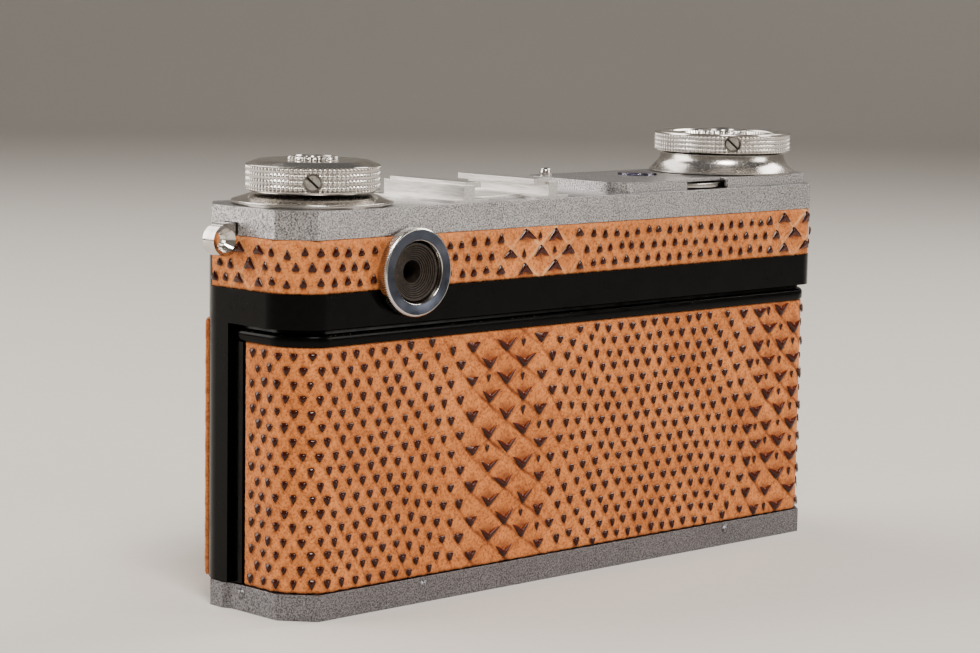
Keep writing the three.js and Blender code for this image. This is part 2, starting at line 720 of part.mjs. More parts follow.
// The slatted blind, closed over the gate.
function shutterBlind() {
  const sheet = block([GATE.x0 - 2, 4.9, DRUM.low - 1], [GATE.x1 + 2, 5.3, DRUM.high + 1]);
  const slats = [];
  for (let z = DRUM.low + 1; z < DRUM.high; z += 4) {
    slats.push(block([GATE.x0 - 2, 4.75, z], [GATE.x1 + 2, 5.45, z + 2]));
  }
  return join(sheet, ...slats);
}
piece("shutter_blind", shutterBlind(), blackMetal);

// Gate frame with two raised film rails.
piece(
  "film_gate",
  cut(
    join(
      block([CRATE.x0, CRATE.y1, CRATE.z0], [CRATE.x1, CRATE.y1 + 0.8, CRATE.z1]),
      block([CRATE.x0, CRATE.y1, GATE.z0 - 3], [CRATE.x1, CRATE.y1 + 1.8, GATE.z0 - 1]),
      block([CRATE.x0, CRATE.y1, GATE.z1 + 1], [CRATE.x1, CRATE.y1 + 1.8, GATE.z1 + 3]),
    ),
    block([GATE.x0, 0, GATE.z0], [GATE.x1, 20, GATE.z1]),
  ),
  steel,
);
piece("pressure_plate", block([-10, 9.8, 9.6], [34, 10.6, 44.4]), blackMetal);
// Bowed leaf spring between the rear cover and the pressure plate.
function pressureSpring() {
  const bow = new THREE.Shape();
  bow.moveTo(-6, 11.6);
  bow.quadraticCurveTo(LENS.x, 10.2, 30, 11.6);
  bow.lineTo(30, 11.9);
  bow.quadraticCurveTo(LENS.x, 10.6, -6, 11.9);
  bow.closePath();
  return prism(bow, LENS.z - 4, LENS.z + 4);
}
piece("pressure_spring", pressureSpring(), brass);

// ---------- lens ----------
const MOUNT_FACE = HALF_DEPTH + CASTING_PROUD;
const about = (points, facets) => turnedAlongY(points, LENS.x, LENS.z, facets);
piece(
  "lens_mount_ring",
  about([[15.4, MOUNT_FACE + 0.05], [24, MOUNT_FACE + 0.05], [24, 16.6], [23.2, 17.3], [15.4, 17.3], [15.4, MOUNT_FACE + 0.05]]),
  polishedChrome,
);
piece(
  "focus_ring",
  about([[15.4, 17.5], [22.2, 17.5], [22.2, 26], [21, 26.8], [15.4, 26.8], [15.4, 17.5]]),
  polishedChrome,
);
piece(
  "lens_barrel",
  about(
    [[12.9, 6], [14.9, 6], [14.9, 27.2], [19.6, 27.2], [19.6, 32.6], [15.7, 32.6], [15.7, 38.2],
     [13.4, 38.2], [13.4, 27.2], [12.9, 27.2], [12.9, 6]],
  ),
  satinChrome,
);
piece(
  "aperture_ring",
  about([[16, 32.9], [20.2, 32.9], [20.2, 37], [19.4, 37.8], [16, 37.8], [16, 32.9]]),
  polishedChrome,
);
piece(
  "filter_ring",
  about([[13.6, 38.2], [18.8, 38.2], [18.8, 42.2], [17.4, 42.6], [14.2, 40], [13.6, 40], [13.6, 38.2]]),
  polishedChrome,
);
piece(
  "front_element",
  about([[0, 35.4], [13.1, 36.4], [13.1, 38.6], [9, 39.8], [5, 40.5], [0, 40.8]], 32),
  opticalGlass,
);
piece(
  "rear_element",
  about([[0, 6.4], [6, 6.6], [10, 7.4], [12.6, 8.4], [12.6, 9.4], [0, 9.4]], 32),
  opticalGlass,
);
piece(
  "iris",
  about([[6.5, 22], [12.7, 22], [12.7, 22.6], [6.5, 22.6], [6.5, 22]], 32),
  blackMetal,
);

// ---------- focusing wheel ----------
const WHEEL = { x: -55, z: 65.8, radius: 6.6, y0: -17.6, y1: -15.1 };
function focusWheel() {
  const shape = new THREE.Shape();
  const teeth = 24;
  const outline = [];
  for (let i = 0; i < teeth * 2; i++) {
    const radius = i % 2 ? WHEEL.radius : WHEEL.radius - 0.5;
    const angle = (i * Math.PI) / teeth;
    outline.push(new THREE.Vector2(radius * Math.cos(angle), radius * Math.sin(angle)));
  }
  shape.setFromPoints(outline);
  const depth = WHEEL.y1 - WHEEL.y0;
  const geometry = new THREE.ExtrudeGeometry(shape, { depth, bevelEnabled: false });
  geometry.rotateX(Math.PI / 2).translate(WHEEL.x, WHEEL.y1, WHEEL.z);
  return cut(solid(geometry), postAlongY(WHEEL.x, WHEEL.z, 1.3, -20, -10, 16));
}
piece("focus_wheel", focusWheel(), polishedChrome);

// Its housing: a foot on the casting with a pin through the wheel.
piece(
  "focus_wheel_housing",
  join(
    cut(
      block([WHEEL.x - 8, PLATE_FRONT - 4.2, 55.6], [WHEEL.x + 8, PLATE_FRONT - 0.02, 64]),
      postAlongY(WHEEL.x, WHEEL.z, WHEEL.radius + 0.4, WHEEL.y0 - 0.3, WHEEL.y1 + 0.3),
    ),
    block([WHEEL.x - 1.2, PLATE_FRONT - 4.2, 58], [WHEEL.x + 1.2, WHEEL.y0 - 0.3, WHEEL.z]),
    postAlongY(WHEEL.x, WHEEL.z, 1.1, PLATE_FRONT - 4.2, WHEEL.y1 + 0.3, 16),
  ),
  satinChrome,
);

export default group;
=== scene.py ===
import json
import math

import bmesh
import bpy
import numpy as np
from bpy.props import FloatProperty, FloatVectorProperty, IntProperty, PointerProperty
from mathutils import Matrix, Vector

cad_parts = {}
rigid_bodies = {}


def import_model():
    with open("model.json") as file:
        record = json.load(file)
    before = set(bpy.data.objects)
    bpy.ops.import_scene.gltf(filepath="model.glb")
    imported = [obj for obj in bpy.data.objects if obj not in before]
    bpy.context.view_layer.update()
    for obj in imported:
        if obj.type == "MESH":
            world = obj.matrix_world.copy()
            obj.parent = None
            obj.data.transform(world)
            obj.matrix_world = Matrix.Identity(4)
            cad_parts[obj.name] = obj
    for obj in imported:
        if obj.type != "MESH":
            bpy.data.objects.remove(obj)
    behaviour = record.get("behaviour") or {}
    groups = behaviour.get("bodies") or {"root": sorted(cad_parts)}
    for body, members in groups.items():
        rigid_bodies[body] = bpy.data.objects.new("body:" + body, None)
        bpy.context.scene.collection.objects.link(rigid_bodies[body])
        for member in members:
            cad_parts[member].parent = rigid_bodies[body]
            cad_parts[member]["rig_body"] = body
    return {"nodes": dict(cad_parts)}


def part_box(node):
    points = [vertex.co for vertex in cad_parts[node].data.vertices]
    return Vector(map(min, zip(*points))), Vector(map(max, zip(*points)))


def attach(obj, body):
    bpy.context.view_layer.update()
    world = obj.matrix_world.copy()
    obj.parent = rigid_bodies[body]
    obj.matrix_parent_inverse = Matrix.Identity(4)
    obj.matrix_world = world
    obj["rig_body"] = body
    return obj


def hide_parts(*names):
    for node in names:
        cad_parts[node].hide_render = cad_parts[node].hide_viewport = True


bl_info = {
    "name": "Rangefinder camera looks",
    "version": (1, 0, 0),
    "blender": (4, 5, 0),
    "location": "3D View > Sidebar > Camera",
    "description": "Builds the hide covering, chrome, enamel and turned parts round the packed frame",
    "category": "Object",
}

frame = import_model()

MM = 0.001
TURN = 2 * math.pi


# ---------- measures from the frame ----------
def low(node):
    """Lowest corner of a frame node, in millimetres."""
    return np.array(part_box(node)[0]) / MM


def high(node):
    """Highest corner of a frame node, in millimetres."""
    return np.array(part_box(node)[1]) / MM


def centre(node):
    """Middle of a frame node's box, in millimetres."""
    return (low(node) + high(node)) / 2


def span(node, axis=2):
    """Lowest and highest place of a frame node along an axis, in millimetres."""
    return low(node)[axis], high(node)[axis]


CORNER = (4.7, 5.6)  # legs of the chamfer at each corner of the plan
SOFT = 2.2  # how far before a corner a formed sheet begins to bend
COVERING = 0.8  # thickness of the hide
SHEET = 1.2  # thickness of pressed sheet metal
MERGE = 2e-6  # points closer than this, in metres, are one
EDGE_ANGLE = 26.0  # edges sharper than this, in degrees, are broken


# ---------- colour and nodes ----------
WHITE, BLACK = (1.0, 1.0, 1.0), (0.0, 0.0, 0.0)
MIDDLE = (0.3, 0.7)  # the span in which nearly all values of a noise lie


def linear(hex_colour):
    """Turns an sRGB hex colour into the linear red, green and blue that shaders take."""
    channels = [int(hex_colour[i:i + 2], 16) / 255 for i in (0, 2, 4)]
    return tuple(c / 12.92 if c <= 0.04045 else ((c + 0.055) / 1.055) ** 2.4 for c in channels)


def rgba(colour):
    """A colour with full cover, from a hex string or a linear triple."""
    return (*(linear(colour) if isinstance(colour, str) else colour), 1.0)


def add(tree, kind, inputs=None, **settings):
    """Adds a node. `inputs` gives a socket, by name or number, a value or a link from another node's output."""
    node = tree.nodes.new(kind)
    for name, value in settings.items():
        setattr(node, name, value)
    for socket, value in (inputs or {}).items():
        if isinstance(value, bpy.types.NodeSocket):
            tree.links.new(value, node.inputs[socket])
        else:
            node.inputs[socket].default_value = value
    return node


def coat_of(name, **values):
    """The node tree of a new material, its main shader's sockets set by name."""
    made = bpy.data.materials.new(name)
    made.use_nodes = True
    shader = made.node_tree.nodes["Principled BSDF"]
    for socket, value in values.items():
        shader.inputs[socket.replace("_", " ")].default_value = value
    return made.node_tree


def own_place(tree):
    """The piece's own coordinates, in metres."""
    node = tree.nodes.get("Texture Coordinate") or add(tree, "ShaderNodeTexCoord")
    return node.outputs["Object"]


def drawn_out(tree, scale, turn=0.0):
    """The piece's own coordinates, scaled along each axis and turned about the upright one."""
    inputs = {"Vector": own_place(tree), "Scale": scale, "Rotation": (0.0, 0.0, turn)}
    return add(tree, "ShaderNodeMapping", inputs).outputs[0]


def noise(tree, size, detail, where=None):
    """Noise whose features are `size` millimetres."""
    inputs = {"Vector": where or own_place(tree), "Scale": 1 / (size * MM), "Detail": detail}
    return add(tree, "ShaderNodeTexNoise", inputs).outputs[0]


def stored(tree, name):
    """A number that the mesh stores at its points."""
    return add(tree, "ShaderNodeAttribute", attribute_name=name).outputs["Fac"]


def ramp(tree, factor, *stops):
    """A colour ramp over `factor`; each stop is a position and a colour."""
    node = add(tree, "ShaderNodeValToRGB", {0: factor})
    elements = node.color_ramp.elements
    while len(elements) < len(stops):
        elements.new(0.5)
    for element, (position, colour) in zip(elements, stops):
        element.position = position
        element.color = rgba(colour)
    return node.outputs["Color"]


def blend(tree, factor, base, over, mode="MIX"):
    """One colour mixed over another."""
    node = add(tree, "ShaderNodeMix", {0: factor, 6: base, 7: over}, data_type="RGBA", blend_type=mode)
    return node.outputs[2]


def surface(tree, colour, gloss=None, bumps=()):
    """Links a colour, a roughness and layers of bump to the main shader.

    `gloss` gives a pattern, a span of its values and the roughness at each end of that span.
    Each bump gives a pattern, a strength and a depth in millimetres.
    """
    shader = tree.nodes["Principled BSDF"]
    tree.links.new(colour, shader.inputs["Base Color"])
    if gloss:
        pattern, (low_value, high_value), (low_rough, high_rough) = gloss
        mapped = add(tree, "ShaderNodeMapRange", {
            "Value": pattern, "From Min": low_value, "From Max": high_value, "To Min": low_rough, "To Max": high_rough,
        })
        tree.links.new(mapped.outputs[0], shader.inputs["Roughness"])
    layers = {}
    for pattern, strength, depth in bumps:
        bump = add(tree, "ShaderNodeBump", {"Strength": strength, "Distance": depth * MM, "Height": pattern, **layers})
        layers = {"Normal": bump.outputs[0]}
    if layers:
        tree.links.new(layers["Normal"], shader.inputs["Normal"])


# ---------- materials ----------
def nubuck(settings):
    """Reptile hide, tanned and buffed to nubuck: mottled tan, fine nap, painted shade in the creases, painted highlight
    on ridges.
    """
    tree = coat_of(
        "nubuck_hide", Roughness=0.86, Sheen_Weight=0.1, Sheen_Roughness=0.55, Sheen_Tint=rgba("FFD9B8"),
        Specular_IOR_Level=0.3,
    )
    cloud, blotch, nap = noise(tree, 9, 3.0), noise(tree, 1.1, 5.0), noise(tree, 0.4, 3.0)
    tone = ramp(tree, cloud, (0.3, settings.hide_shade), (0.7, settings.hide_tone))
    mottle = ramp(tree, blotch, (0.3, (0.84, 0.8, 0.76)), (0.52, WHITE), (0.74, (1.08, 1.1, 1.12)))
    speck = ramp(tree, nap, (0.32, (0.5, 0.42, 0.36)), (0.5, WHITE), (0.68, (1.22, 1.24, 1.26)))
    grained = blend(tree, 0.9, blend(tree, 1.0, tone, mottle, "MULTIPLY"), speck, "MULTIPLY")
    # Painted shade along the crease lines under the scales' steps; the same mask also darkens round the drops and near
    # the cut edges, and carries the lacquer's stain beside each drop.
    shaded_and_stained = blend(tree, stored(tree, "crease"), grained, rgba("6A2A0A"))
    # Painted highlight: the upper strip's ridges are lightened as if lit from above.
    ridge_highlit = blend(tree, stored(tree, "ridge"), shaded_and_stained, rgba("F6BE85"))
    surface(tree, ridge_highlit, bumps=((nap, 0.55, 0.12), (blotch, 0.5, 0.3)))


def lacquer(settings):
    """Shellac drops left in the hide's pits: dark and wet-looking, honey brown where they run thin."""
    tree = coat_of("shellac_drops", Roughness=0.11, IOR=1.52, Specular_IOR_Level=0.24)
    thin = stored(tree, "thin")
    surface(tree, ramp(tree, thin, (0.0, settings.drop_tone), (0.4, "4A1505"), (0.75, "8E3A0C"), (1.0, "C4651F")))


def blasted_chrome(name, tone, rough, relief):
    """Chrome over bead-blasted brass: pale grey and soft, with a sparkling grain."""
    tree = coat_of(name, Metallic=1.0)
    blast, stain = noise(tree, 0.26, 2.0), noise(tree, 7, 5.0)
    dark = tuple(c * 0.42 for c in linear(tone))
    light = tuple(min(1.0, c * 1.6) for c in linear(tone))
    sparkle = ramp(tree, blast, (0.36, dark), (0.5, tone), (0.62, light))
    wash = ramp(tree, stain, (0.3, (0.9, 0.89, 0.89)), (0.6, WHITE))
    washed = blend(tree, 1.0, sparkle, wash, "MULTIPLY")
    surface(tree, washed, (blast, MIDDLE, (rough - 0.08, rough + 0.1)), ((blast, relief, 0.05),))


def bright_chrome():
    """Polished chrome plate: mirror bright, hazed by fine handling scratches."""
    tree = coat_of("polished_chrome", Metallic=1.0)
    haze, hair = noise(tree, 2.4, 6.0), noise(tree, 0.9, 2.0, drawn_out(tree, (1.0, 6.0, 1.0), 0.7))
    tone = ramp(tree, haze, (0.3, "D9D6D2"), (0.7, "BEBAB4"))
    surface(tree, tone, (haze, (0.35, 0.7), (0.1, 0.27)), ((hair, 0.12, 0.04),))


def plated_steel():
    """Dull nickel on folded steel: silvery and streaked where accessories have slid."""
    tree = coat_of("dull_nickel", Metallic=1.0)
    streak, spot = noise(tree, 1.6, 6.0, drawn_out(tree, (5.0, 0.35, 5.0))), noise(tree, 0.9, 4.0)
    tone = ramp(tree, streak, (0.3, "B4B0AD"), (0.5, "D2D0CE"), (0.75, "E2E0DE"))
    fleck = ramp(tree, spot, (0.22, (0.62, 0.5, 0.36)), (0.3, WHITE))
    mixed = blend(tree, 0.8, tone, fleck, "MULTIPLY")
    surface(tree, mixed, (streak, MIDDLE, (0.44, 0.28)), ((spot, 0.2, 0.06),))


def enamel(settings):
    """Black stove enamel over brass: deep gloss with a faint orange peel, nicked bright along its edges."""
    tree = coat_of("black_stove_enamel", IOR=1.5, Specular_IOR_Level=0.07)
    nick, dust, peel = noise(tree, 0.55, 4.0), noise(tree, 3.5, 6.0), noise(tree, 1.3, 1.0)
    worn = add(tree, "ShaderNodeMath", {0: nick, 1: stored(tree, "wear")}, operation="MULTIPLY").outputs[0]
    chipped = ramp(tree, worn, (0.55, BLACK), (0.59, WHITE))
    tree.links.new(chipped, tree.nodes["Principled BSDF"].inputs["Metallic"])
    colour = blend(tree, chipped, rgba(settings.enamel_tone), rgba("A89878"))
    surface(tree, colour, (dust, (0.35, 0.7), (0.13, 0.3)), ((peel, 0.1, 0.15),))


def turned_metal(name, tone, rough):
    """Machined bare metal: fine lathe lines that blur its highlights."""
    tree = coat_of(name, Metallic=1.0)
    line = noise(tree, 0.4, 4.0)
    colour = ramp(tree, line, (0.3, tuple(c * 0.72 for c in linear(tone))), (0.65, tone))
    surface(tree, colour, (line, MIDDLE, (rough - 0.06, rough + 0.08)), ((line, 0.25, 0.04),))


def matt_black():
    """Chemically blackened brass: dead black, so that no light strays inside the instrument."""
    tree = coat_of("blackened_brass", Metallic=0.45, Roughness=0.42)
    cloud = noise(tree, 0.5, 4.0)
    surface(tree, ramp(tree, cloud, (0.3, "14100D"), (0.7, "3A3029")), bumps=((cloud, 0.2, 0.05),))


def blued():
    """Black nickel on the eyepiece: a smooth blue-black sheen with fine turning."""
    tree = coat_of("black_nickel", Metallic=1.0)
    cloud = noise(tree, 3.5, 6.0)
    colour = ramp(tree, cloud, (0.3, "343841"), (0.55, "474C58"), (0.75, "5F6470"))
    surface(tree, colour, (cloud, MIDDLE, (0.24, 0.42)))


def coated_glass():
    """Ground optical glass with a single bloom coating: clear, with a violet reflection and a little dust."""
    tree = coat_of(
        "bloomed_glass", Transmission_Weight=1.0, IOR=1.52, Roughness=0.02, Coat_Weight=0.3, Coat_Roughness=0.02,
        Coat_Tint=rgba("D8CEF6"),
    )
    surface(tree, ramp(tree, noise(tree, 0.5, 5.0), (0.4, "E6E9F2"), (0.75, "C9CCD6")))


def ink():
    """Black filler wiped into engraved marks: flat and slightly uneven."""
    tree = coat_of("engraving_filler", Roughness=0.6)
    surface(tree, ramp(tree, noise(tree, 0.3, 3.0), (0.35, "0D0D0D"), (0.75, "2E2C2A")))


def finishes(settings):
    """Makes every material once, from the settings."""
    if "nubuck_hide" in bpy.data.materials:
        return
    for make in (nubuck, lacquer, enamel):
        make(settings)
    for make in (bright_chrome, plated_steel, matt_black, blued, coated_glass, ink):
        make()
    blasted_chrome("satin_blasted_chrome", "A9A8AA", 0.34, 0.8)
    blasted_chrome("tarnished_chrome", "767579", 0.38, 0.6)
    turned_metal("turned_brass", "CFA45A", 0.28)
    turned_metal("ground_steel", "C4C1BB", 0.3)
    turned_metal("lathe_turned_chrome", "CFCBC6", 0.2)


# Each finish is a material and the slot of the part that it belongs to.
SATIN = ("satin_blasted_chrome", "satin_chrome")
TARNISHED = ("tarnished_chrome", "satin_chrome")
NICKEL = ("dull_nickel", "satin_chrome")
CHROME = ("polished_chrome", "bright_chrome")
TURNED = ("lathe_turned_chrome", "bright_chrome")
ENAMEL = ("black_stove_enamel", "black_enamel")
BLACKENED = ("blackened_brass", "blackened_metal")
STEEL = ("ground_steel", "steel")
BRASS = ("turned_brass", "brass")
GLASS = ("bloomed_glass", "glass")


# ---------- meshes ----------
def mesh_of(name, points, faces, materials, crisp=32.0):
    """An object from points in millimetres; its edges sharper than `crisp` degrees stay crisp."""
    mesh = bpy.data.meshes.new(name)
    mesh.from_pydata((np.asarray(points, float) * MM).tolist(), [], np.asarray(faces).tolist())
    made = bpy.data.objects.new(name, mesh)
    bpy.context.scene.collection.objects.link(made)
    for material in materials:
        mesh.materials.append(bpy.data.materials[material])
    smooth(mesh, crisp)
    return made


def smooth(mesh, crisp):
    mesh.shade_smooth()
    mesh.set_sharp_from_angle(angle=math.radians(crisp))


def edit(made, change, outwards=True):
    """Runs `change` on the object's mesh as a bmesh, and turns its faces outwards after it."""
    bm = bmesh.new()
    bm.from_mesh(made.data)
    change(bm)
    if outwards:
        bmesh.ops.recalc_face_normals(bm, faces=bm.faces)
    bm.to_mesh(made.data)
    bm.free()


def face_outwards(made):
    edit(made, lambda bm: None)


def joined(made, extra):
    """Takes another object's mesh into this one."""
    with bpy.context.temp_override(active_object=made, selected_editable_objects=[made, extra]):
        bpy.ops.object.join()


def settle(made, slot, *nodes, body=None):
    """The piece rides with a body and stands for the frame nodes that it replaces; its slot argument is not used."""
    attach(made, body or frame["nodes"][nodes[0]]["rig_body"])
    if nodes:
        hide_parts(*nodes)
    return made


def repaint(made, index, chosen):
    """Gives the faces whose centres pass `chosen` (x, y, z in millimetres) another of the piece's materials."""
    faces = made.data.polygons
    centres = np.empty(len(faces) * 3)
    faces.foreach_get("center", centres)
    mask = chosen(*(centres.reshape(-1, 3) / MM).T)
    current = np.zeros(len(faces), np.int32)
    faces.foreach_get("material_index", current)
    current[mask] = index
    faces.foreach_set("material_index", current)
    made.data.update()


def mark(made, name, values):
    """Stores one number for each point of the mesh."""
    attribute = made.data.attributes.new(name, "FLOAT", "POINT")
    attribute.data.foreach_set("value", np.asarray(values, np.float32))


def refined(name, node, width, finish, segments=2):
    """A frame node's shape with its edges broken as a maker would, so that each one catches the light."""
    material, slot = finish
    made = frame["nodes"][node].copy()
    made.data = made.data.copy()
    made.name = name
    made.hide_render = made.hide_viewport = False
    for key in list(made.keys()):
        if key.startswith("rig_"):
            del made[key]
    made.parent = None
    bpy.context.scene.collection.objects.link(made)
    made.data.materials.clear()
    made.data.materials.append(bpy.data.materials[material])

    def break_edges(bm):
        bmesh.ops.remove_doubles(bm, verts=bm.verts, dist=MERGE)
        bmesh.ops.dissolve_limit(
            bm, angle_limit=math.radians(1.0), use_dissolve_boundaries=False, verts=bm.verts, edges=bm.edges,
        )
        sharp = [
            e for e in bm.edges
            if len(e.link_faces) == 2 and e.calc_face_angle() > math.radians(EDGE_ANGLE)
        ]
        bmesh.ops.bevel(
            bm, geom=sharp, offset=width * MM, offset_type="OFFSET", segments=segments, profile=0.5,
            affect="EDGES", clamp_overlap=True,
        )

    edit(made, break_edges)
    for face in made.data.polygons:
        face.material_index = 0
    smooth(made.data, EDGE_ANGLE + 4)
    weighted = made.modifiers.new("even shading", "WEIGHTED_NORMAL")
    weighted.keep_sharp = True
    return settle(made, slot, node)


def rounded(corners):
    """Turns (radius, height, fillet) corners into a profile whose fillets are short curves."""
    profile = []
    for i, corner in enumerate(corners):
        fillet = corner[2] if len(corner) > 2 else 0
        here = np.array(corner[:2], float)
        if not fillet or i in (0, len(corners) - 1):
            profile.append(tuple(here))
            continue
        back = np.array(corners[i - 1][:2], float) - here
        ahead = np.array(corners[i + 1][:2], float) - here
        reach = min(fillet, 0.48 * np.hypot(*back), 0.48 * np.hypot(*ahead))
        start = here + back / np.hypot(*back) * reach
        end = here + ahead / np.hypot(*ahead) * reach
        for t in np.linspace(0, 1, 5):
            profile.append(tuple(start * (1 - t) ** 2 + here * 2 * t * (1 - t) + end * t ** 2))
    return profile


def turned(name, profile, middle, materials, segments, forward=False, relief=None, crisp=32.0):
    """A profile of (radius, height) turned about an upright axis, or about one that points to the front."""
    points = np.array(profile, float)
    angle = np.arange(segments)[:, None] * TURN / segments
    radius = np.repeat(points[None, :, 0], segments, 0)
    height = np.repeat(points[None, :, 1], segments, 0)
    if relief:
        radius, height = relief(angle, radius, height)
    across, up = radius * np.cos(angle), radius * np.sin(angle)
    if forward:
        grid = np.stack([middle[0] + across, -height, middle[1] + up], -1)
    else:
        grid = np.stack([middle[0] + across, middle[1] + up, height], -1)
    faces = grid_faces(segments, len(points), wrap=True)
    made = mesh_of(name, grid.reshape(-1, 3), faces, materials)
    edit(made, lambda bm: bmesh.ops.remove_doubles(bm, verts=bm.verts, dist=MERGE))
    smooth(made.data, crisp)
    return made


def lathe(name, node, finish, profile, segments, about=None, inner=None, forward=False, **options):
    """A turned piece that stands for a frame node; its axis is the middle of `about`, or of the node."""
    x, y, z = centre(about or node)
    material, slot = finish
    materials = [material, inner] if inner else [material]
    made = turned(name, profile, (x, z) if forward else (x, y), materials, segments, forward=forward, **options)
    return settle(made, slot, node)


def grid_faces(rows, columns, wrap=False):
    """Quads of a grid of points stored row by row; `wrap` joins the last row to the first."""
    index = np.arange(rows * columns).reshape(rows, columns)
    below = np.roll(index, -1, 0) if wrap else index[1:]
    above = index if wrap else index[:-1]
    quads = [above[:, :-1], below[:, :-1], below[:, 1:], above[:, 1:]]
    return np.stack(quads, -1).reshape(-1, 4)


def ticks(name, count, place, sizes, body, every=5, arc=(0.0, TURN)):
    """Plain index marks over an arc: thin bars let into a surface, each `every`th one longer."""
    corners = ((-1, 0, 0), (1, 0, 0), (1, 1, 0), (-1, 1, 0), (-1, 0, 1), (1, 0, 1), (1, 1, 1), (-1, 1, 1))
    sides = ((0, 1, 2, 3), (4, 7, 6, 5), (0, 4, 5, 1), (1, 5, 6, 2), (2, 6, 7, 3), (3, 7, 4, 0))
    points, faces = [], []
    for i in range(count):
        length, width, depth = sizes
        length *= 1.0 if i % every else 1.7
        turn = arc[0] + i / count * arc[1]
        points += [place(turn, side * width / 2, out * length, up * depth) for side, out, up in corners]
        faces += [[len(corners) * i + corner for corner in face] for face in sides]
    made = mesh_of(name, points, faces, ["engraving_filler"])
    face_outwards(made)
    settle(made, "black_enamel", body=body)


# ---------- the covering ----------
class Wall:
    """The line of a wall from the middle of the back (or front) round a corner and along the side.

    Lengths along it are signed: they grow towards the rewind side and fall towards the winding side.
    """

    def __init__(self, half_width, half_depth, face=1):
        w, d = half_width, half_depth
        middle = (w - CORNER[0] / 2, d - CORNER[1] / 2)
        bends = (
            ((w - CORNER[0] - SOFT, d), (w - CORNER[0], d), middle),
            (middle, (w, d - CORNER[1]), (w, d - CORNER[1] - SOFT)),
        )
        points = [(0.0, d)]
        for a, b, c in bends:
            for t in np.linspace(0, 1, 13)[:-1]:
                points.append([a[k] * (1 - t) ** 2 + b[k] * 2 * t * (1 - t) + c[k] * t * t for k in (0, 1)])
        points += [bends[1][2], (w, -d)]
        self.points = np.array(points, float)
        steps = np.diff(self.points, axis=0)
        lengths = np.hypot(*steps.T)
        self.length = np.concatenate([[0], np.cumsum(lengths)])
        ways = steps / lengths[:, None]
        mean = np.vstack([ways[:1], ways[:-1] + ways[1:], ways[-1:]])
        mean /= np.hypot(*mean.T)[:, None]
        self.normals = np.stack([-mean[:, 1], mean[:, 0]], -1)
        self.face = face

    def length_at(self, y):
        """How far along the line its side reaches `y` (counted from the face's own side)."""
        return float(np.interp(-y * self.face, -self.points[:, 1], self.length))

    def normal_at(self, place):
        """The outward direction near a point, in the frame's own x and y."""
        here = np.array([abs(place[0]), place[1] * self.face])
        nearest = int(np.argmin(np.hypot(*(self.points - here).T)))
        nx, ny = self.normals[nearest]
        return (nx if place[0] >= 0 else -nx, ny * self.face)

    def point(self, s, inward, z):
        """Points at length `s`, `inward` millimetres inside the line, at height `z`."""
        run = np.abs(s)
        x, y = (np.interp(run, self.length, self.points[:, k]) for k in (0, 1))
        nx, ny = (np.interp(run, self.length, self.normals[:, k]) for k in (0, 1))
        scale = np.hypot(nx, ny)
        x = (x - nx / scale * inward) * np.where(s < 0, -1, 1)
        y = (y - ny / scale * inward) * self.face
        return np.stack(np.broadcast_arrays(x, y, z), -1)


class Scales:
    """Where the drops sit on the hide: staggered columns, opening out into bands of large scales.

    Each band gives its middle, the reach of its wider columns and the half pitch they gain, then the
    reach of its taller rows and the height they gain.
    """

    def __init__(self, reach, middle, half_pitch, height, bands):
        self.middle = middle
        self.half_pitch = half_pitch
        self.height = height
        self.bands = bands
        columns = [bands[0][0]]
        while columns[-1] < reach:
            columns.append(columns[-1] + float(self.half_column(columns[-1])))
        while columns[0] > -reach:
            columns.insert(0, columns[0] - float(self.half_column(columns[0])))
        self.columns = np.array(columns)
        self.first = columns.index(bands[0][0])

    def half_column(self, s):
        return self.half_pitch + sum(
            gain * np.exp(-np.abs((s - place) / reach) ** 3) for place, reach, gain, _, _ in self.bands
        )

    def pitch(self, s):
        return self.height + sum(
            gain * np.exp(-np.abs((s - place) / reach) ** 6) for place, _, _, reach, gain in self.bands
        )

    def openness(self, s):
        """0 where the scales are small and 1 in the middle of a band."""
        return np.clip((self.half_column(s) - self.half_pitch) / 2.75, 0, 1)

    def lattice(self, s, z):
        """Each scale's two diagonal numbers at a point; they are whole along its edges."""
        column = np.interp(s, self.columns, np.arange(len(self.columns)) - self.first)
        row = (z - self.middle) / self.pitch(s)
        return row + column / 2, row - column / 2

    def drops(self, z0, z1, rng):
        """Place, width, height, openness, how proud it stands and lean of each drop."""
        found = []
        for k, column in enumerate(self.columns):
            pitch = float(self.pitch(column))
            open_ = float(self.openness(column))
            rows = int((z1 - z0) / pitch) + 2
            stagger = ((k - self.first) % 2) / 2
            for row in range(-rows, rows + 1):
                s = column + rng.normal(0, 0.13)
                z = self.middle + (row + stagger) * pitch + rng.normal(0, 0.13)
                wide = (1.45 + 3.7 * open_) * rng.uniform(0.8, 1.15)
                tall = (1.65 + 1.25 * open_) * rng.uniform(0.85, 1.15)
                lean = rng.uniform(-0.22, 0.22) * (0.3 + open_)
                dot = rng.random()
                if z0 < z < z1:
                    found.append((s, z, wide, tall, open_, 1.0, lean))
                between = z + pitch / 2
                if open_ > 0.45 and s < self.bands[0][0] + 5 and dot < 0.45 and z0 < between < z1:
                    found.append((s + 0.2, between, 1.05, rng.uniform(1.3, 1.8), 0.0, 0.35, 0.0))
        return np.array(found)


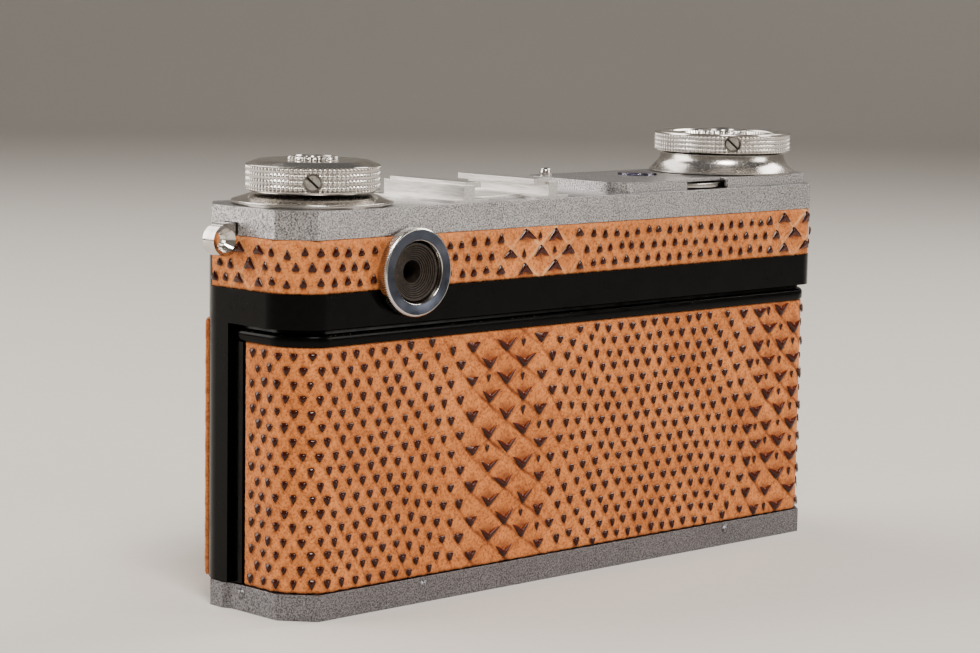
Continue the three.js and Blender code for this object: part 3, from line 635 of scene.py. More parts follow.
def drop_meshes(wall, drops, tip, proud, across=13, up=7):
    """Domed drops on a wall. `tip` is -1 where their points hang down and 1 where they stand up."""
    x = np.linspace(-1, 1, across)[None, :, None]
    t = np.linspace(0, 1, up)[None, None, :]
    s, z, wide, tall, open_, full, lean = (drops[:, k][:, None, None] for k in range(7))
    lift = tall * (0.85 + 0.15 * open_)
    soft = 0.16 - 0.04 * open_
    lower = -tall / 2 + lift * (np.sqrt(x * x + soft * soft) - soft)
    thick = tall * (0.95 - 0.42 * open_) * (1 - np.abs(x) ** (1.35 + 0.5 * open_)) ** (0.8 + 0.3 * open_)
    local = lower + thick * t
    crown = np.sqrt(np.clip(1 - (2 * t - 1) ** 2, 0, 1)) * np.clip(1 - x * x, 0, 1) ** 0.6
    heavy = np.exp(-((x / (0.5 + 0.5 * (1 - open_))) ** 2))
    outward = proud * full * crown * (0.35 + 0.65 * heavy) - 0.05
    arm = 1 + lean * np.sign(x)
    points = wall.point(s + x * arm * wide / 2 + 0 * t, -outward, z - tip * local)
    thin = np.clip((t - 0.35) / 0.65, 0, 1) ** 1.2 * (0.15 + 0.85 * open_) * (0.5 + 0.5 * np.abs(x))
    faces = grid_faces(across, up)
    faces = (faces[None] + (np.arange(len(drops)) * across * up)[:, None, None]).reshape(-1, 4)
    if (tip > 0) == (wall.face > 0):
        faces = faces[:, ::-1]
    return points.reshape(-1, 3), faces, np.broadcast_to(thin, points.shape[:3]).reshape(-1)


def nearest_drop(s, z, drops):
    """Distance from each point of a grid to the nearest drop, in that drop's own half sizes."""
    nearest = np.full(s.shape, 9.0)
    ordered = drops[np.argsort(drops[:, 0])]
    for start in range(0, len(ordered), 48):
        some = ordered[start:start + 48]
        rows = np.where((s[:, 0] > some[0, 0] - 3.5) & (s[:, 0] < some[-1, 0] + 3.5))[0]
        if len(rows):
            block = slice(rows[0], rows[-1] + 1)
            away = np.hypot(
                (s[block][..., None] - some[:, 0]) / (some[:, 2] / 2),
                (z[block][..., None] - some[:, 1]) / (some[:, 3] / 2),
            ).min(-1)
            nearest[block] = np.minimum(nearest[block], away)
    return nearest


def panel(name, wall, span, heights, scales, seed, tip, settings, holes=(), bare=0.9):
    """One piece of hide on a wall: overlapping scales with a cut edge, and the drops in their tips."""
    rng = np.random.default_rng(seed)
    s = np.linspace(*span, int((span[1] - span[0]) / settings.hide_mesh) + 2)[:, None]
    z = np.linspace(*heights, int((heights[1] - heights[0]) / settings.hide_mesh) + 2)[None, :]
    share = (z - heights[0]) / (heights[1] - heights[0])
    ragged = 0.06 * np.sin(s * 2.1) + 0.05 * np.sin(s * 5.7 + 1)
    s, z = s + 0 * z, z + ragged * (1 - share) ** 4
    drops = scales.drops(heights[0] + 0.35, heights[1] - 0.35, rng)
    keep = (drops[:, 0] > span[0] + bare) & (drops[:, 0] < span[1] - bare)
    for hole_s, hole_z, radius in holes:
        keep &= np.hypot(drops[:, 0] - hole_s, drops[:, 1] - hole_z) > radius + 0.9
    drops = drops[keep]
    open_ = scales.openness(s)
    tall = 0.75 + 0.62 * open_
    turned_z = z if tip < 0 else 2 * scales.middle - z
    wobble = 0.12 * np.sin(s * 1.7 + turned_z * 0.9) + 0.1 * np.sin(turned_z * 2.3 - s * 0.8)
    a, b = scales.lattice(s + wobble, turned_z + tall)
    part_a, part_b = a - np.floor(a), b - np.floor(b)
    shingle = (1 - (part_a + part_b) / 2) * (0.1 + 0.16 * open_)
    apart = scales.pitch(s) * 0.62
    on_b = np.exp(-((np.minimum(part_b, 1 - part_b) * apart / 0.2) ** 2))
    on_a = np.exp(-((np.minimum(part_a, 1 - part_a) * apart / 0.2) ** 2))
    fade = np.clip(0.7 + 0.5 * np.sin(s * 0.55 + z * 0.31) * np.sin(z * 0.47 - s * 0.2), 0.3, 1)
    # crease: painted shade on the lines where one scale steps over the next, strong on hanging scales, faint where they
    # stand up.
    crease = np.maximum(on_b, 0.4 * on_a) * fade * ((0.45 + 0.55 * open_) if tip < 0 else 0.2)
    # ridge: painted highlight along the same lines where the scales stand up, on the upper strip.
    ridge = np.maximum(on_a, on_b) * fade * (0.0 if tip < 0 else 0.25 + 0.55 * open_)
    dent = np.exp(-((nearest_drop(s, z, drops) / 1.25) ** 2))
    stain = np.exp(-((nearest_drop(s, z + tip * (0.35 + 0.45 * open_), drops) / (0.95 - 0.2 * open_)) ** 2))
    edge = np.minimum(np.minimum(z - heights[0], heights[1] - z), np.minimum(s - span[0], span[1] - s))
    edge = np.maximum(edge, 0)
    sunk = 0.3 - shingle + 0.12 * crease - 0.1 * ridge + 0.05 * dent + 0.28 * np.exp(-edge / 0.2)
    sheet = wall.point(s, sunk, z)
    faces = grid_faces(*a.shape)[:, ::-1 if wall.face > 0 else 1]
    # Painted shade in the creases, darker round the drops and towards the cut edges, and the lacquer's stain on the
    # side of each drop away from its tip.
    shade_and_stain = np.clip(1.1 * crease + 0.3 * dent ** 3 + 0.55 * stain + 0.3 * np.exp(-edge / 0.25), 0, 1)
    points, drop_faces, thin = drop_meshes(wall, drops, tip, settings.drop_height / MM)
    made = mesh_of(name, sheet.reshape(-1, 3), faces, ["nubuck_hide", "shellac_drops"], crisp=70)
    mark(made, "crease", shade_and_stain.reshape(-1))
    mark(made, "ridge", ridge.reshape(-1))
    trim(made, wall, holes)
    beads = mesh_of(name + "_drops", points, drop_faces, ["nubuck_hide", "shellac_drops"], crisp=70)
    mark(beads, "thin", thin)
    beads.data.polygons.foreach_set("material_index", np.ones(len(beads.data.polygons), np.int32))
    joined(made, beads)
    smooth(made.data, 70)
    return made


def trim(made, wall, holes):
    """Cuts round holes through the sheet and turns its edges in towards the wall."""
    def work(bm):
        for hole_s, hole_z, radius in holes:
            middle = wall.point(np.array(hole_s), 0.0, hole_z)
            inside = lambda p: math.hypot(p.x / MM - middle[0], p.z / MM - hole_z) < radius
            middles = [(f, f.calc_center_median()) for f in bm.faces]
            gone = [f for f, place in middles if inside(place) and place.y * wall.face > 0]
            if not gone:
                continue
            rim = {v for f in gone for v in f.verts}
            bmesh.ops.delete(bm, geom=gone, context="FACES")
            for v in rim:
                if v.is_valid and v.is_boundary:
                    dx, dz = v.co.x / MM - middle[0], v.co.z / MM - hole_z
                    grow = radius / math.hypot(dx, dz)
                    v.co.x = (middle[0] + dx * grow) * MM
                    v.co.z = (hole_z + dz * grow) * MM
        edges = [e for e in bm.edges if e.is_boundary]
        grown = bmesh.ops.extrude_edge_only(bm, edges=edges)
        crease = bm.verts.layers.float.get("crease")
        for v in grown["geom"]:
            if isinstance(v, bmesh.types.BMVert):
                reach = Vector((v.co.x, v.co.y, 0))
                foot = wall.normal_at(reach / MM)
                v.co -= Vector((foot[0], foot[1], 0)) * (COVERING - 0.4) * MM
                if crease:
                    v[crease] = 0.15
    edit(made, work, outwards=False)


def swept(name, wall, stations, section, materials, crisp=35.0):
    """A closed section of (inward, height) carried along a wall; `section(s)` may change along it."""
    rings = [np.array(section(s), float) for s in stations]
    grid = np.stack([wall.point(np.full(len(ring), s), ring[:, 0], ring[:, 1]) for s, ring in zip(stations, rings)])
    made = mesh_of(name, grid.reshape(-1, 3), grid_faces(*grid.shape[:2]), materials)
    edit(made, lambda bm: (
        bmesh.ops.remove_doubles(bm, verts=bm.verts, dist=MERGE),
        bmesh.ops.holes_fill(bm, edges=[e for e in bm.edges if e.is_boundary], sides=0),
    ))
    smooth(made.data, crisp)
    return made


def stations_between(wall, start, end, step=0.6):
    """Lengths from start to end: close together round the corners and sparse along the flats."""
    flat = wall.length[1]
    bend = wall.length[-2]
    marks = [start, end, *np.linspace(-flat, flat, 9)]
    for side in (-1, 1):
        marks += list(side * np.arange(flat, bend, step)) + [side * bend]
    return sorted(m for m in set(marks) if start <= m <= end)


# ---------- settings ----------
def tint(name, description, colour):
    """A colour setting."""
    return FloatVectorProperty(
        name=name, description=description, size=3, subtype="COLOR", min=0, max=1, default=linear(colour),
    )


class CameraLooks(bpy.types.PropertyGroup):
    """Sizes and colours that a user would change."""

    hide_tone: tint("Hide, light", "Lighter tan of the nubuck", "D88446")
    hide_shade: tint("Hide, dark", "Deeper tan of the nubuck", "C07036")
    drop_tone: tint("Drops", "Colour of the drops where they are thick", "2E0C03")
    enamel_tone: tint("Enamel", "Colour of the stove enamel", "030303")
    floor_tone: tint("Floor", "Colour of the floor and backdrop", "DAD6D0")
    drop_height: FloatProperty(
        name="Drop height", description="How far the drops stand above the hide",
        default=0.36 * MM, min=0, max=0.001, unit="LENGTH",
    )
    hide_mesh: FloatProperty(
        name="Hide mesh (mm)", description="Spacing of the hide's mesh, in millimetres", default=0.25, min=0.2, max=2,
    )
    key_light: FloatProperty(
        name="Key light", description="Power of the main softbox", default=7.0, min=0, unit="POWER",
    )
    knurl_rewind: IntProperty(name="Rewind knurls", description="Knurls round the rewind knob", default=87, min=12)
    knurl_wind: IntProperty(name="Winding knurls", description="Knurls round the winding knob", default=100, min=12)


class CameraOperator:
    """What the operators share: the materials are made before a group of pieces is built."""

    bl_options = {"REGISTER", "UNDO"}

    def execute(self, context):
        settings = context.scene.camera_looks
        finishes(settings)
        self.build(settings)
        return {"FINISHED"}


# ---------- covering, casting and rear cover ----------
def rear_wall():
    """The rear cover's line."""
    half_width, half_depth, _ = high("rear_cover")
    return Wall(half_width, half_depth)


def body_wall(face=1):
    """The casting's line round the back or the front."""
    half_width, half_depth, _ = high("body_casting")
    return Wall(half_width, half_depth, face)


class OBJECT_OT_camera_covering(CameraOperator, bpy.types.Operator):
    """Lay the hide on the rear cover, round the upper band and on the front"""

    bl_idname = "object.camera_covering"
    bl_label = "Hide covering"

    def build(self, settings):
        past_end = 4  # the scales run on past the cut end of a piece
        wall = rear_wall()
        heights = span("rear_leather")
        end = wall.length_at(low("rear_leather")[1])
        bands = ((19.0, 9.5, 2.75, 20.0, 1.35), (-56.0, 10.0, 2.2, 17.0, 1.6))
        scales = Scales(end + past_end, 25.5, 1.55, 4.85, bands)
        hide = panel("rear_hide", wall, (-end, end), heights, scales, 3, -1, settings)
        settle(hide, "covering", "rear_leather")

        band = body_wall()
        bottom, top = span("upper_leather")
        end = band.length_at(low("upper_leather")[1])
        eye = centre("eyepiece_ring")
        bands = ((11.5, 8.5, 2.3, 12.0, 0.9), (-59.0, 6.0, 2.0, 9.0, 0.6), (77.0, 3.5, 1.3, 5.0, 0.5))
        scales = Scales(end + past_end, (bottom + top) / 2, 1.45, 5.0, bands)
        hide = panel(
            "upper_hide", band, (-end, end), (bottom, top + 0.05), scales, 11, 1, settings,
            holes=((eye[0], eye[2], 5.95),),
        )
        settle(hide, "covering", "upper_leather")

        front = body_wall(-1)
        front.points = front.points + front.normals * COVERING
        lens = centre("lens_mount_ring")
        for node, side, seed in (("front_leather_rewind_side", 1, 21), ("front_leather_wind_side", -1, 22)):
            bottom, top = span(node)
            end = front.length_at(high(node)[1]) - 1.6
            reach = (lens[0], end) if side > 0 else (-end, lens[0])
            scales = Scales(end + past_end, (bottom + top) / 2, 1.6, 4.9, ((-36.0, 9.5, 2.6, 20.0, 1.4),))
            hide = panel(
                node.replace("leather", "hide"), front, reach, (bottom, top), scales, seed, -1, settings,
                holes=((lens[0], lens[2], 24.8),), bare=2.4,
            )
            settle(hide, "covering", node)


def rear_cover_section(leather_end, bottom, bead, top):
    """The rear cover's section: pressed sheet that steps out below the hide's ends and into a rolled rim."""
    def section(s):
        panel_in = COVERING + 0.05 if abs(s) <= leather_end else 0.0
        rim = [
            (COVERING, bead + 0.02), (0.45, bead + 0.05), (0.16, bead + 0.16), (0.02, bead + 0.42),
            (0.0, bead + 0.8), (0.0, bead + 1.3), (0.05, bead + 1.62), (0.2, bead + 1.92), (0.45, bead + 2.1),
            (0.75, bead + 2.14), (0.9, bead + 2.2), (0.95, bead + 2.35),
        ]
        inner = COVERING + SHEET
        return [
            (panel_in + 0.1, bottom), (panel_in, bottom + 0.1), (panel_in, bead - 0.05), *rim,
            (1.0, top - 0.12), (1.12, top), (inner, top), (inner, bottom), (panel_in + 0.1, bottom),
        ]
    return section


class OBJECT_OT_camera_shell(CameraOperator, bpy.types.Operator):
    """Shape the enamelled casting, the rear cover with its rolled rim, and the parts of the base"""

    bl_idname = "object.camera_shell"
    bl_label = "Casting and rear cover"

    def build(self, settings):
        refined("enamelled_casting", "body_casting", 0.35, ENAMEL, segments=3)

        wall = rear_wall()
        bottom, top = span("rear_cover")
        end = wall.length_at(low("rear_cover")[1])
        hide_end = wall.length_at(low("rear_leather")[1]) + 0.12
        step = 0.02
        stations = stations_between(wall, -end, end) + [-hide_end - step, -hide_end, hide_end, hide_end + step]
        section = rear_cover_section(hide_end, bottom, high("rear_leather")[2], top)
        material, slot = ENAMEL
        cover = swept("rear_cover_shell", wall, sorted(stations), section, [material])
        z = np.array([v.co.z for v in cover.data.vertices]) / MM
        mark(cover, "wear", np.interp(z, [top - 1.3, top - 0.9, top - 0.55], [0.0, 1.0, 0.4]))
        settle(cover, slot, "rear_cover")

        refined("base_tray", "base_plate", 0.22, TARNISHED)


# ---------- top ----------
class OBJECT_OT_camera_top(CameraOperator, bpy.types.Operator):
    """Finish the top cover, its raised deck, the shoe and the strap lugs"""

    bl_idname = "object.camera_top"
    bl_label = "Top plates and shoe"

    def build(self, settings):
        refined("top_plate", "top_cover", 0.28, SATIN)
        refined("raised_deck", "wind_deck", 0.3, SATIN)
        refined("shoe_rails", "accessory_shoe", 0.16, NICKEL)
        for side in ("rewind_side", "wind_side"):
            node = "strap_lug_" + side
            lug = refined("lug_" + side, node, 0.35, CHROME)
            shoulder, root = (high(node)[2] - 0.6) * MM, (abs(centre(node)[0]) + 0.3) * MM
            for point in lug.data.vertices:  # its shoulder meets the top cover
                if point.co.z > shoulder and abs(point.co.x) < root:
                    point.co.z += 0.2 * MM
        refined("finder_plate", "finder_faceplate", 0.12, SATIN)
        refined("wheel_housing", "focus_wheel_housing", 0.25, SATIN)
        refined("focusing_wheel", "focus_wheel", 0.12, CHROME)

        top = high("counter_window")[2]
        lathe("counter_glass", "counter_window", GLASS, rounded([
            (0, top - 1.1), (3, top - 1.1), (3, top - 0.6), (3.8, top - 0.6), (3.75, top - 0.2, 0.1),
            (3.3, top - 0.12, 0.1), (2.2, top - 0.05, 0.4), (0, top),
        ]), segments=96)

        x, y, _ = centre("frame_counter_dial")
        bottom, top = span("frame_counter_dial")
        lathe("counter_dial", "frame_counter_dial", TURNED, rounded([
            (0, bottom), (1.6, bottom), (1.6, top - 0.8), (9.6, top - 0.8, 0.1), (9.6, top, 0.15),
            (8.9, top - 0.02), (8.8, top - 0.1), (0, top - 0.1),
        ]), segments=160)

        def on_dial(turn, side, out, up):
            return (
                x + (8.6 - out) * math.cos(turn) - side * math.sin(turn),
                y + (8.6 - out) * math.sin(turn) + side * math.cos(turn),
                top - 0.11 + up,
            )
        ticks("counter_marks", 40, on_dial, (0.9, 0.16, 0.04), "counter")

        bottom, top = span("rewind_release_button")
        lathe("rewind_release", "rewind_release_button", CHROME, rounded([
            (0, bottom), (1.15, bottom), (1.15, top - 0.9, 0.1), (1.0, top - 0.35, 0.4), (0.6, top - 0.05, 0.4),
            (0, top),
        ]), segments=64)


# ---------- knobs ----------
def knurl(count, z0, row, rows, depth):
    """Beads cut round a rim: `count` to a row, in rows of height `row` from `z0`."""
    def relief(angle, radius, height):
        around = (angle * count / TURN) % 1.0 - 0.5
        level = (height - z0) / row
        up = level % 1.0 - 0.5
        dome = np.sqrt(np.clip(1 - (around / 0.5) ** 2 - (up / 0.5) ** 2, 0, 1))
        on_rim = (level > 0.0) & (level < rows) & (radius > 9)
        return radius - np.where(on_rim, depth * (1 - dome), 0.0), height
    return relief


def straight_ribs(count, z0, z1, rim, depth, sharp):
    """Straight serrations round a rim between two heights; `sharp` is the share that stays full."""
    def relief(angle, radius, height):
        wave = np.abs(((angle * count / TURN) % 1.0) * 2 - 1)
        cut = depth * np.clip((wave - sharp) / (1 - sharp), 0, 1)
        fade = np.clip((height - z0) / 0.12, 0, 1) * np.clip((z1 - height) / 0.12, 0, 1)
        return radius - np.where(radius > rim, cut * fade, 0.0), height
    return relief


def level_reach(node, knob):
    """The level way from a knob's axis to a grub screw's middle, in millimetres."""
    place, axis = centre(node), centre(knob)
    return Vector((place[0] - axis[0], place[1] - axis[1], 0))


def lay_along(made, node, knob, reach, spin=None):
    """Lays an upright piece along a grub screw's axis, `reach` from the knob's own axis."""
    out = level_reach(node, knob).normalized()
    axis = centre(knob)
    where = Vector((axis[0], axis[1], centre(node)[2])) + out * reach
    turn = out.to_track_quat("Z", "Y").to_matrix().to_4x4()
    made.data.transform(Matrix.Translation(where * MM) @ turn @ (spin or Matrix.Identity(4)))


def grub_screw(name, node, knob):
    """A slotted grub screw let into a knob's rim: turned end, crowned, with a sawn slot."""
    length, radius, half_slot, floor = 2.3, 1.3, 0.2, -0.45
    points, faces = [], []
    corner = math.asin(half_slot / radius)
    arc = np.linspace(corner, math.pi - corner, 25)
    count = len(arc)
    loops = ((radius, floor - 0.02), (radius, -0.1), (radius - 0.1, 0.02))
    for side in (-1, 1):
        start = len(points)
        for rim, height in loops:
            points += [(rim * math.cos(a), side * max(rim * math.sin(a), half_slot), height) for a in arc]
        for k in range(len(loops) - 1):
            for i in range(count):
                a, b = start + k * count + i, start + k * count + (i + 1) % count
                faces.append((a, b, b + count, a + count))
        faces += [tuple(range(start, start + count)), tuple(range(start + 2 * count, start + 3 * count))]
    materials = [STEEL[0], BLACKENED[0]]
    disc = bpy.data.objects.new(name, bpy.data.meshes.new(name))
    disc.data.from_pydata(points, [], faces)
    disc.data.transform(Matrix.Scale(MM, 4))
    for material in materials:
        disc.data.materials.append(bpy.data.materials[material])
    bpy.context.scene.collection.objects.link(disc)
    stem = turned(
        name + "_stem", [(0, -length), (radius, -length), (radius, floor), (0, floor)], (0, 0), materials, 40,
    )
    repaint(stem, 1, lambda px, py, pz: pz > floor - 0.05)
    joined(disc, stem)
    face_outwards(disc)
    reach = level_reach(node, knob).length + length / 2 - 0.05
    lay_along(disc, node, knob, reach, Matrix.Rotation(-0.75, 4, "Z"))
    smooth(disc.data, 30)
    settle(disc, STEEL[1], node)


def with_socket(made, node, knob):
    """Bores the clearance for a grub screw into a knob's rim."""
    radius, depth, past_rim = 1.62, 2.7, 3
    drill = turned(
        "drill", [(0, -depth), (radius, -depth), (radius, past_rim), (0, past_rim)], (0, 0), [BRASS[0]], 48,
    )
    lay_along(drill, node, knob, high(knob)[0] - centre(knob)[0])
    bore = made.modifiers.new("bore", "BOOLEAN")
    bore.object = drill
    bore.solver = "EXACT"
    bpy.context.view_layer.update()
    bored = bpy.data.meshes.new_from_object(made.evaluated_get(bpy.context.evaluated_depsgraph_get()))
    made.modifiers.clear()
    made.data = bored
    bpy.data.objects.remove(drill)
    smooth(made.data, 30)


def knurled_knob(name, knob, screw, knurls, knurl_low, row, depth, before, after):
    """A knob with four rows of knurls and a grub screw; its profile runs `before`, up the rim, `after`."""
    rows, steps = 4, 8
    x, y, _ = centre(knob)
    rim = high(knob)[0] - x
    wall = [(rim, h) for h in np.linspace(knurl_low, knurl_low + rows * row, rows * steps + 1)]
    made = turned(
        name + "_knob_body", [*before, *wall, *after(rim, knurl_low + rows * row + 0.02)], (x, y), [CHROME[0]],
        knurls * 8, relief=knurl(knurls, knurl_low, row, rows, depth), crisp=60,
    )
    with_socket(made, screw, knob)
    settle(made, CHROME[1], knob)
    grub_screw(name + "_screw", screw, knob)


class OBJECT_OT_camera_rewind_knob(CameraOperator, bpy.types.Operator):
    """Turn the rewind knob, its flange, its nut and its grub screw"""

    bl_idname = "object.camera_rewind_knob"
    bl_label = "Rewind knob"

    def build(self, settings):
        z0, z1 = span("rewind_knob")
        knurled_knob(
            "rewind", "rewind_knob", "rewind_grub_screw", settings.knurl_rewind, z0 + 0.45, 1.02, 0.34,
            [(2.8, z0), (10.6, z0), (11.0, z0 + 0.05), (11.1, z0 + 0.2), (11.1, z0 + 0.45 - 0.12)],
            lambda rim, above: [
                *rounded([(rim, above), (rim - 0.1, z1 - 0.75, 0.1), (9.6, z1, 0.3), (4.6, z1 - 0.02)]),
                (4.5, z1 - 0.15), (2.8, z1 - 0.15), (2.8, z0),
            ],
        )
        bottom, top = span("rewind_knob_nut")
        lathe("rewind_nut", "rewind_knob_nut", CHROME, rounded([
            (0, bottom), (4.3, bottom), (4.35, bottom + 0.15), (4.35, top - 0.25), (4.0, top, 0.15),
            (3.4, top), (3.3, top - 0.12), (1.4, top - 0.12), (1.3, top - 0.3), (0, top - 0.32),
        ]), 27 * 12, relief=straight_ribs(27, bottom, top, 3.6, 0.35, 0.35), crisp=50, about="rewind_knob")
        bottom, top = span("rewind_flange")
        lathe("rewind_flange_ring", "rewind_flange", TURNED, rounded([
            (4.6, bottom), (12.9, bottom), (12.9, bottom + 0.34), (14.0, bottom + 0.34, 0.05),
            (14.0, bottom + 0.72, 0.12), (13.2, bottom + 0.95, 0.2), (10.9, top - 0.1, 0.3), (10.4, top),
            (4.6, top), (4.6, bottom),
        ]), 160, about="rewind_knob")
        bottom, top = span("rewind_sleeve")
        lathe("rewind_quill_sleeve", "rewind_sleeve", BRASS, rounded([
            (2.8, bottom), (4.1, bottom, 0.2), (4.1, top, 0.2), (2.8, top), (2.8, bottom),
        ]), 64, about="rewind_knob")


class OBJECT_OT_camera_wind_knob(CameraOperator, bpy.types.Operator):
    """Turn the winding knob, the speed dial below it, its nut, its grub screw and the release button"""

    bl_idname = "object.camera_wind_knob"
    bl_label = "Winding knob and speed dial"

    def build(self, settings):
        x, y, _ = centre("wind_knob")
        z0, z1 = span("wind_knob")
        knurled_knob(
            "wind", "wind_knob", "wind_grub_screw", settings.knurl_wind, z0 + 0.25, 0.8, 0.3,
            [(3.3, z0), (12.5, z0), (12.9, z0 + 0.1)],
            lambda rim, above: [
                *rounded([(rim, above), (rim - 0.05, z1, 0.2), (11.2, z1, 0.15), (10.9, z1 - 0.3, 0.1),
                          (10.4, z1 - 1.5, 0.4), (9.6, z1 - 1.62, 0.2)]),
                (6.3, z1 - 1.62), (6.1, z1 - 1.72), (3.3, z1 - 1.72), (3.3, z0),
            ],
        )
        bottom, top = span("wind_knob_nut")
        lathe("wind_nut", "wind_knob_nut", CHROME, rounded([
            (2.9, bottom), (4.9, bottom), (4.9, top - 0.25), (4.6, top, 0.15), (3.1, top, 0.1),
            (2.9, top - 0.2), (2.9, bottom),
        ]), 24 * 12, relief=straight_ribs(24, bottom, top, 4.5, 0.3, 0.35), crisp=50, about="wind_knob")

        bottom, top = span("speed_dial")

        def flare(t):
            """Radius and height of the flared collar, from its foot at 0 to its top at 1."""
            return 12.1 + 2.2 * (1 - t) ** 2.2, bottom + 0.35 + (top - bottom - 0.45) * t
        lathe("speed_dial_collar", "speed_dial", TURNED, [
            (4.6, bottom), (14.1, bottom), (14.3, bottom + 0.12), *map(flare, np.linspace(0, 1, 18)), (11.9, top),
            (4.6, top), (4.6, bottom),
        ], 180, about="wind_knob")

        def on_flare(turn, side, out, up):
            radius, height = flare(0.12 + out / (top - bottom))
            radius += 0.02 + up - 0.04
            return (
                x + radius * math.cos(turn) - side * math.sin(turn),
                y + radius * math.sin(turn) + side * math.cos(turn),
                height,
            )
        ticks("speed_marks", 15, on_flare, (0.8, 0.3, 0.06), "speed_collar", every=3, arc=(3.4, 2.6))

        bottom, top = span("release_button")
        lathe("release_plunger", "release_button", CHROME, rounded([
            (0, bottom), (1.4, bottom), (1.4, top - 2.1), (2.6, top - 2.1, 0.1), (2.6, top - 0.35, 0.3),
            (1.9, top - 0.02, 0.3), (1.5, top - 0.1, 0.1), (0.8, top - 0.35, 0.3), (0, top - 0.4),
        ]), 72, about="wind_knob")


# ---------- finder ----------
class OBJECT_OT_camera_eyepiece(CameraOperator, bpy.types.Operator):
    """Turn the eyepiece ring, its stepped cell and the finder's glasses"""

    bl_idname = "object.camera_eyepiece"
    bl_label = "Eyepiece and windows"

    def build(self, settings):
        x, _, z = centre("eyepiece_ring")
        far, near = (-reach for reach in span("eyepiece_ring", 1))
        rim = high("eyepiece_ring")[0] - x
        ring = lathe("eyepiece_bezel", "eyepiece_ring", CHROME, rounded([
            (5.0, far), (5.0, near + 1.5), (5.25, near + 1.0, 0.1), (5.45, near + 0.12, 0.1),
            (5.62, near + 0.02), (7.2, near + 0.02), (7.32, near, 0.05), (7.45, near + 0.1, 0.08),
            (rim, near + 0.34, 0.1), (rim, near + 1.0), (rim, near + 1.75, 0.1), (7.2, near + 2.05),
            (5.6, near + 2.05), (5.6, far), (5.0, far),
        ])[::-1], 152 * 6, inner="black_nickel", forward=True, crisp=40,
            relief=straight_ribs(152, near + 0.2, near + 1.9, 7.3, 0.2, 0.25))
        repaint(ring, 1, lambda px, py, pz: (
            (py > -near - 0.05) & (np.hypot(px - x, pz - z) < 7.26) & (np.hypot(px - x, pz - z) > 5.55)
        ))

        neck = -low("eyepiece_cell")[1]
        steps, count = [(4.95, neck), (1.9, neck)], 8
        for i in range(count):
            share = (i + 1) / count
            radius, forward = 1.9 + 2.9 * share, near + 2.0 - 1.1 * share
            steps += [(radius - 0.3, forward + 0.3), (radius - 0.26, forward), (radius - 0.06, forward - 0.03)]
        steps += [(4.95, near + 0.85), (4.95, neck)]
        lathe("eyepiece_steps", "eyepiece_cell", BLACKENED, steps, 120, about="eyepiece_ring", forward=True)
        refined("eyepiece_lens", "eyepiece_glass", 0.15, GLASS)
        refined("finder_front_glass", "finder_window", 0.2, GLASS)
        refined("rangefinder_front_glass", "rangefinder_window", 0.2, GLASS)
        refined("splitter_cube", "beam_splitter", 0.25, GLASS)
        refined("prism_bar", "rangefinder_prism", 0.25, GLASS)
        refined("finder_box", "finder_tube", 0.2, BLACKENED)


